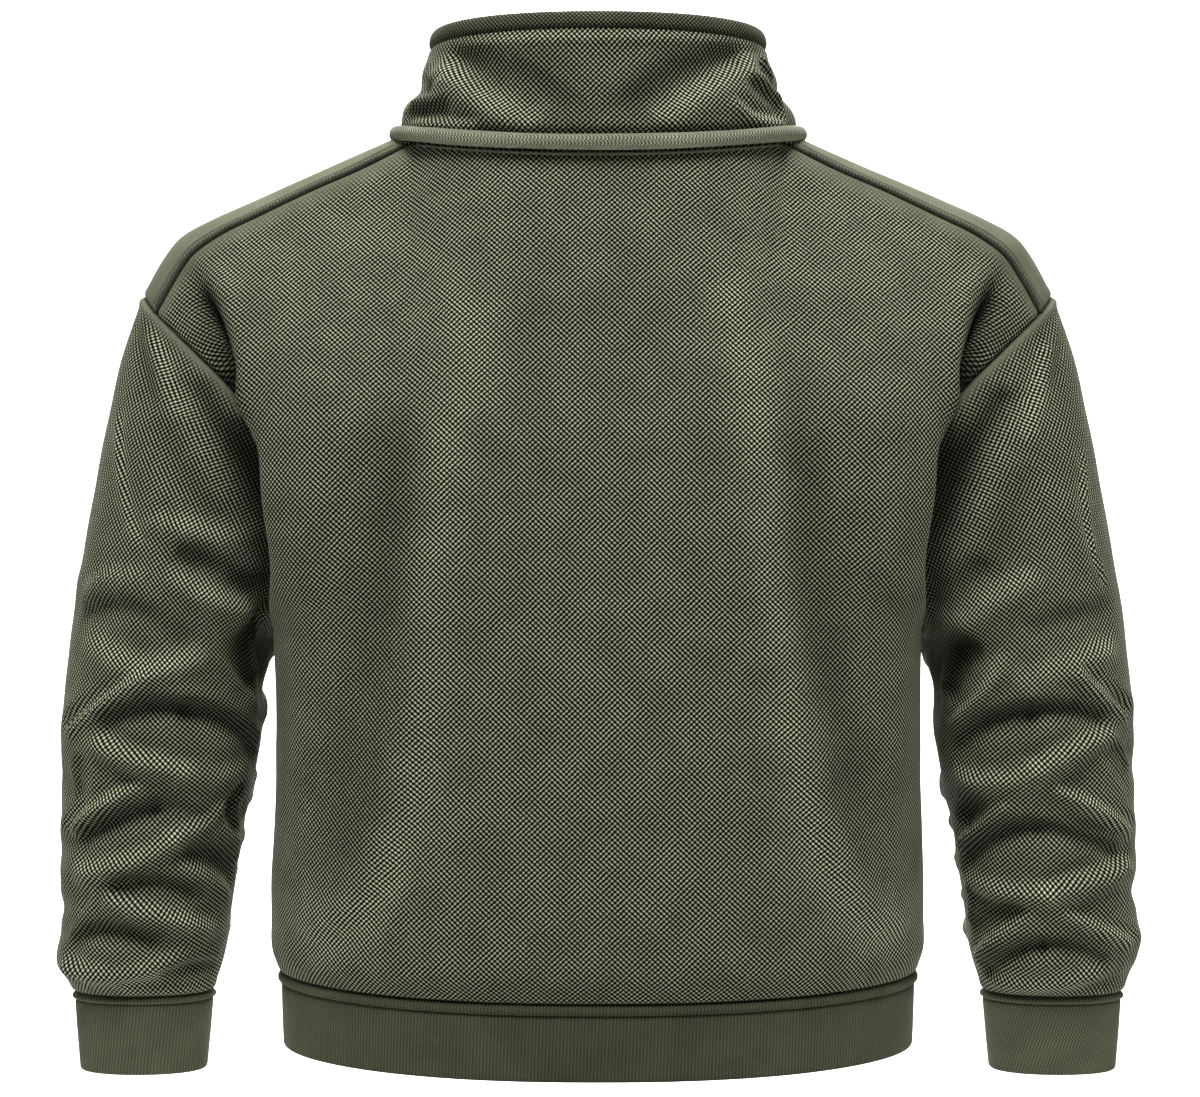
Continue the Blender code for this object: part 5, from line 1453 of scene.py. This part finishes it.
def add_band(shell):
    """The cloth of a band. Its steps and walls come from its profile."""
    shell.wrap()
    return add_shell(shell, shell.profile[:, 1:2], shell.profile[:, 2:3])


# ---- Trims -------------------------------------------------------------------------------
def roll_turns():
    """Turns round the neck roll's line, from below over the outer side to above."""
    return np.radians(np.linspace(-ROLL_OPEN, ROLL_OPEN, ROLL_CELLS + 1))


def roll_shell():
    """The neck roll: a strip of cloth wrapped round its line, open towards the neck seam."""
    rows = []
    for turn in roll_turns():
        ring = []
        for angle in collar_angles():
            wave = math.sin(ROLL_WAVES * math.radians(angle) + ROLL_WAVE_SLANT * turn)
            swell = 1.0 + ROLL_UNEVEN * wave
            across = ROLL_HALF_WIDTH * swell * math.cos(turn)
            rise = ROLL_HALF_HEIGHT * swell * math.sin(turn)
            ring.append(neck_middle(angle) + neck_outward(angle) * across + np.array([0.0, 0.0, rise]))
        rows.append(ring)
    return Shell("neck_roll", np.array(rows), True, 0)


def tube_faces(path, radius, sides):
    """The points and faces of a round tube along a path, closed at both ends."""
    path = np.asarray(path, dtype=float)
    ahead = np.roll(path, -1, axis=0) - np.roll(path, 1, axis=0)
    ahead[0] = path[1] - path[0]
    ahead[-1] = path[-1] - path[-2]
    ahead = ahead / np.linalg.norm(ahead, axis=1, keepdims=True)
    side = np.cross(ahead, np.array([0.0, 0.0, 1.0]))
    side = side / np.linalg.norm(side, axis=1, keepdims=True)
    up = np.cross(side, ahead)
    turns = np.linspace(0.0, 2.0 * math.pi, sides, endpoint=False)[None, :, None]
    around = np.cos(turns) * side[:, None] + np.sin(turns) * up[:, None]
    points = path[:, None] + radius[:, None, None] * around
    faces = []
    for start in range(0, (len(path) - 1) * sides, sides):
        for k in range(sides):
            other = (k + 1) % sides
            faces.append((start + k, start + other, start + sides + other, start + sides + k))
    faces.append(tuple(range(sides))[::-1])
    faces.append(tuple((len(path) - 1) * sides + k for k in range(sides)))
    return points.reshape(-1, 3), faces


def joined_mesh(name, bodies, material):
    """One mesh from several lists of points and faces."""
    points = []
    faces = []
    for body_points, body_faces in bodies:
        start = len(points)
        points += [tuple(point) for point in body_points]
        faces += [tuple(start + corner for corner in face) for face in body_faces]
    mesh = bpy.data.meshes.new(name)
    mesh.from_pydata(points, [], faces)
    mesh.materials.append(bpy.data.materials[material])
    mesh.shade_smooth()
    return mesh


def thread_stitch(start, end, up):
    """One stitch: a short thread that rises out of the cloth and goes back into it."""
    share = np.linspace(0.0, 1.0, STITCH_RINGS)
    line = start + np.outer(share, end - start)
    line = line + np.outer(np.sin(math.pi * share) * STITCH_RISE - STITCH_SUNK, up)
    radii = STITCH_RADIUS * (STITCH_THIN + (1.0 - STITCH_THIN) * np.sin(math.pi * share) ** 0.5)
    return tube_faces(line, radii, STITCH_SIDES)


def line_at(outer, normals, distances, wanted):
    """A line on a grid's surface at one distance from its top edge, with its directions."""
    columns = outer.shape[1]
    points = np.empty((columns, 3))
    directions = np.empty((columns, 3))
    for column in range(columns):
        away = distances[::-1, column]
        for k in range(3):
            points[column, k] = np.interp(wanted, away, outer[::-1, column, k])
            directions[column, k] = np.interp(wanted, away, normals[::-1, column, k])
    directions /= np.linalg.norm(directions, axis=1, keepdims=True)
    return points, directions


def at_lengths(points, directions, pitch, start):
    """Points and directions at even lengths along a line."""
    lengths = lengths_along(points)
    marks = np.arange(start, lengths[-1] - start, pitch)
    read = [np.interp(marks, lengths, points[:, k]) for k in range(3)]
    facing = [np.interp(marks, lengths, directions[:, k]) for k in range(3)]
    return np.column_stack(read), np.column_stack(facing)


def shoulder_stitches(outer, normals, away, slant):
    """Slanted stitches along the welt of one shoulder."""
    low, low_up = line_at(outer, normals, away, STITCH_NEAR)
    high, high_up = line_at(outer, normals, away, STITCH_FAR)
    starts, ups = at_lengths(low, low_up, STITCH_PITCH, STITCH_START)
    ends, _ = at_lengths(high, high_up, STITCH_PITCH, STITCH_START + slant)
    return [thread_stitch(start, end, up) for start, end, up in zip(starts, ends, ups)]


def welt_stitches(front, steps):
    """The stitches of both welts, on the outer face of the front."""
    outer = front.points() + front.normals() * steps[:, :, None]
    away = front.away("top")
    count = outer.shape[1]
    inner = int((count - 1) / 2 - NECK_CELLS_FRONT) - STITCH_FREE_NECK
    stitches = []
    for first, last, slant in ((STITCH_FREE_ARMHOLE, inner, STITCH_SLANT),
                               (count - inner, count - STITCH_FREE_ARMHOLE, -STITCH_SLANT)):
        part = np.s_[:, first:last]
        stitches += shoulder_stitches(outer[part], front.normals()[part], away[part], slant)
    return joined_mesh("welt_stitches", stitches, "sewing_thread")


def neck_piping():
    """The thin cord in the seam below the neck roll, behind."""
    path = []
    for angle in np.linspace(-PIPING_REACH, PIPING_REACH, PIPING_CELLS + 1):
        inset = PIPING_INSET * neck_outward(angle)
        path.append(neck_middle(angle) - inset + np.array([0.0, 0.0, -PIPING_DROP]))
    along = np.linspace(PIPING_POINT, math.pi - PIPING_POINT, len(path))
    radii = PIPING_RADIUS * np.sin(along) ** PIPING_TAPER_POWER
    return joined_mesh("neck_piping", [tube_faces(path, radii, PIPING_SIDES)], "piping_cord")


# ---- The garment's forms -----------------------------------------------------------------
def unevenness(points, size, depth):
    """Slow soft waves, so that no stretch of cloth is perfectly even."""
    x, y, z = (points[:, :, k] / size for k in range(3))
    total = sum(np.sin(a * x + b * y + c * z + start) for a, b, c, start in WAVES)
    return depth * total / len(WAVES)


def cloth_form(grid, across, up, scale, folds, creases, waves, whole_turn=None):
    """The height of a piece's folds and creases, dying away at its seams, and their painted light and
    shade.
    """
    share = FOLD_SHARE if whole_turn else 1.0
    folds = share * fold_lift(across, up, folds, scale, whole_turn)
    lift, tone = crease_form(across, up, creases, scale, whole_turn)
    lift = lift + folds + unevenness(grid, *waves)
    # the tone is the creases' painted light and shade, with painted shade deep in the folds
    return lift * fade_from_seams(grid, sides=not whole_turn), tone * painted_fold_shade(folds)


def panel_shell(node, grid, folds, creases):
    """The back or the front."""
    form = cloth_form(grid, grid[:, :, 0], grid[:, :, 2], (1.0, 1.0), mirrored(folds), creases,
                      PANEL_WAVES)
    return Shell(node, grid, False, grid.shape[1] // 2, *form)


def arm_shells(side, folds, creases):
    """A sleeve and its cuff. Both sides are worked out on the left, and the right is mirrored."""
    tube = sleeve_tube()
    angles = sleeve_angles()
    reach = np.linalg.norm(tube - tube.mean(axis=1, keepdims=True), axis=2)
    scale = (math.radians(1.0) * reach.mean(axis=1, keepdims=True), 1.0)
    form = cloth_form(tube, np.tile(angles, (len(tube), 1)), tube[:, :, 2], scale, folds,
                      all_round(creases, 0.0, SLEEVE_CREASE_RISE), SLEEVE_WAVES, 360.0)
    sign = 1 if side == "left" else -1
    grid = tube[:, ::sign] * np.array([sign, 1.0, 1.0])
    outer_column = int(np.argmin(np.abs(angles[::sign])))
    sleeve = Shell("sleeve_" + side, grid[::-1], True, outer_column,
                   *(values[::-1, ::sign] for values in form))
    cuff = band_shell("cuff_" + side, grid[-1], CUFF_PROFILE, -1, CUFF_BOTTOM_TAPER,
                      (sign * CUFF_SLANT, -CUFF_FORWARD, 0.0))
    return sleeve, cuff


def collar_shell(grid):
    """The collar."""
    angles = np.tile(collar_angles(), (len(grid), 1))
    shares = np.tile(np.linspace(0.0, 1.0, len(grid))[:, None], (1, grid.shape[1]))
    scale = (math.radians(1.0) * COLLAR_RADIUS, COLLAR_HEIGHT)
    creases = all_round(COLLAR_CREASES, 180.0, COLLAR_CREASE_RISE)
    form = cloth_form(grid, angles, shares, scale, COLLAR_FOLDS, creases, COLLAR_WAVES, 360.0)
    return Shell("collar", grid, True, 0, *form)


def smooth_share(shell, reach):
    """How smooth the knit lies at each point, by its distance from the top seam."""
    return 1.0 - soft_step((shell.away("top") - reach[0]) / reach[1])


def beside_neck(shell, cells):
    """Which columns of a panel end at the neck and not at a shoulder seam."""
    count = shell.channels.shape[1]
    return np.abs(np.arange(count) - (count - 1) / 2) <= cells


def add_back(back):
    """The back panel, its knit smooth along the shoulder seams."""
    back.refine()
    steps = back.sew(("top", "bottom", "left", "right"))
    smooth = smooth_share(back, BACK_SMOOTH)
    return add_shell(back, steps, smooth=np.where(beside_neck(back, NECK_CELLS_BACK), 0.0, smooth))


def add_front(front):
    """The front panel with the welts along its shoulder seams, and their stitches."""
    front.refine(WELT_STATIONS)
    steps = front.sew(("bottom", "left", "right"))
    away = front.away("top")
    marks, welt_steps, welt_tones = np.array(WELT_PROFILE).T
    neck = beside_neck(front, NECK_CELLS_FRONT + 1)
    steps = steps + np.where(neck, seam_edge(away), np.interp(away, marks, welt_steps))
    # dark seam lines by the neck; on the welts their tones, with painted shade in the groove beside
    # each
    front.tint(np.where(neck, seam_line(away), np.interp(away, marks, welt_tones)))
    smooth = smooth_share(front, STRIP_SMOOTH)
    piece = add_shell(front, steps, BODY_WALL + np.maximum(steps, 0.0), np.where(neck, 0.0, smooth))
    return piece, add_piece(welt_stitches(front, steps))


def add_sleeve(sleeve):
    """One sleeve. Its edge lies proud over the body at the armhole."""
    sleeve.refine()
    steps = sleeve.sew(("top",), ARMHOLE_PUFF) + sleeve.sew(("bottom",))
    return add_shell(sleeve, steps, smooth=smooth_share(sleeve, SLEEVE_SMOOTH))


def add_collar(collar):
    """The collar. Its lower edge stays hidden behind the neck roll."""
    collar.refine()
    return add_shell(collar, collar.sew(("top",)))


def add_roll(roll):
    """The neck roll, with painted light on its underside, where it lies on the shoulders."""
    roll.wrap()
    # painted light on the roll's underside, over the roll's overall lightness
    under = soft_step(-np.sin(roll_turns()))
    roll.tint((ROLL_TONE + ROLL_PAINTED_LIGHT_UNDER * under)[:, None])
    return add_shell(roll, np.zeros((1, 1)), ROLL_WALL)


def build_garment():
    """Every piece of the garment, by its name."""
    back_grid = back_panel()
    front_grid = front_panel(back_grid)
    collar_grid = collar_tube()
    back = panel_shell("back", back_grid, BACK_FOLDS, BACK_CREASES + mirrored(SHOULDER_CREASES))
    front = panel_shell("front", front_grid, FRONT_FOLDS, mirrored(FRONT_CREASES))
    left, left_cuff = arm_shells("left", LEFT_SLEEVE_FOLDS, LEFT_SLEEVE_CREASES)
    right, right_cuff = arm_shells("right", RIGHT_SLEEVE_FOLDS, RIGHT_SLEEVE_CREASES)
    hem_seam = np.vstack([back_grid[0], front_grid[0, 1:-1]])
    hem = band_shell("hem_band", hem_seam, HEM_PROFILE, -1, HEM_BOTTOM_TAPER)
    collar = collar_shell(collar_grid)
    edge = band_shell("collar_band", collar_grid[-1], EDGE_PROFILE, 1)
    share_seam_normals([back, front, collar, left, right, left_cuff, right_cuff, hem, edge])

    made = {"back": add_back(back)}
    made["front"], made["welt_stitches"] = add_front(front)
    for sleeve, cuff in ((left, left_cuff), (right, right_cuff)):
        made[sleeve.node] = add_sleeve(sleeve)
        # painted light: the cuffs lighter than the same rib of the hem band
        cuff.tint(CUFF_PAINTED_LIGHT)
        made[cuff.node] = add_band(cuff)
    # painted shade in the middle of the hem band and painted light towards its sides
    sideways = np.abs(hem.points()[:, :, 0]) / SIDE_ROWS[0][1]
    hem.tint(HEM_PAINTED_SHADE_MIDDLE + (HEM_PAINTED_LIGHT_SIDE - HEM_PAINTED_SHADE_MIDDLE) * soft_step(sideways))
    made["hem_band"] = add_band(hem)
    made["collar"] = add_collar(collar)
    made["collar_band"] = add_band(edge)
    made["neck_roll"] = add_roll(roll_shell())
    made["neck_piping"] = add_piece(neck_piping())
    return made


# ---- Studio ------------------------------------------------------------------------------
def add_camera():
    """The camera at the photograph's place, level with the middle of the back."""
    camera = bpy.data.objects.new("camera", bpy.data.cameras.new("camera"))
    camera.data.sensor_width = 36.0
    camera.data.lens = CAMERA_LENS
    camera.location = CAMERA_PLACE
    camera.rotation_euler = (math.pi / 2, 0.0, math.pi)
    bpy.context.scene.collection.objects.link(camera)
    bpy.context.scene.camera = camera


def add_light(name, place, target, size, power, spread):
    """A soft square light that faces a target."""
    light = bpy.data.objects.new(name, bpy.data.lights.new(name, "AREA"))
    light.data.shape = "SQUARE"
    light.data.size = size
    light.data.energy = power
    light.data.spread = math.radians(spread)
    light.location = place
    direction = np.array(target) - np.array(place)
    light.rotation_euler = mathutils.Vector(direction).to_track_quat("-Z", "Y").to_euler()
    bpy.context.scene.collection.objects.link(light)


def add_studio(material):
    """A pale floor that curves up into a backdrop, soft lights and an even sky."""
    profile = [(FLOOR_NEAR, 0.0)]
    for turn in np.linspace(0.0, math.pi / 2, FLOOR_STEPS + 1):
        profile.append((FLOOR_FAR - FLOOR_CURVE * math.sin(turn), FLOOR_CURVE * (1 - math.cos(turn))))
    profile.append((FLOOR_FAR - FLOOR_CURVE, FLOOR_WALL))
    points = []
    for depth, height in profile:
        points.append((-FLOOR_HALF_WIDTH, depth, FLOOR_HEIGHT + height))
        points.append((FLOOR_HALF_WIDTH, depth, FLOOR_HEIGHT + height))
    faces = [(2 * k, 2 * k + 1, 2 * k + 3, 2 * k + 2) for k in range(len(profile) - 1)]
    floor = bpy.data.objects.new("floor", joined_mesh("floor", [(points, faces)], material))
    bpy.context.scene.collection.objects.link(floor)
    world = bpy.data.worlds.new("sky")
    world.use_nodes = True
    background = world.node_tree.nodes["Background"]
    background.inputs["Color"].default_value = (1.0, 1.0, 1.0, 1.0)
    background.inputs["Strength"].default_value = SKY_STRENGTH
    bpy.context.scene.world = world
    for light in LIGHTS:
        add_light(*light)
    bpy.context.scene.view_settings.view_transform = "Standard"


# ---- Main --------------------------------------------------------------------------------
add_camera()
add_paper("studio_paper", FLOOR_COLOUR)
add_studio("studio_paper")
add_knit("body_birdseye", BODY_KNIT)
add_knit("collar_birdseye", COLLAR_KNIT)
add_knit("collar_edge_knit", EDGE_KNIT)
add_knit("neck_roll_knit", ROLL_KNIT)
add_knit("band_rib", RIB_KNIT)
add_thread("sewing_thread", THREAD_COLOUR)
add_thread("piping_cord", PIPING_COLOUR)
build_garment()
bpy.context.view_layer.update()
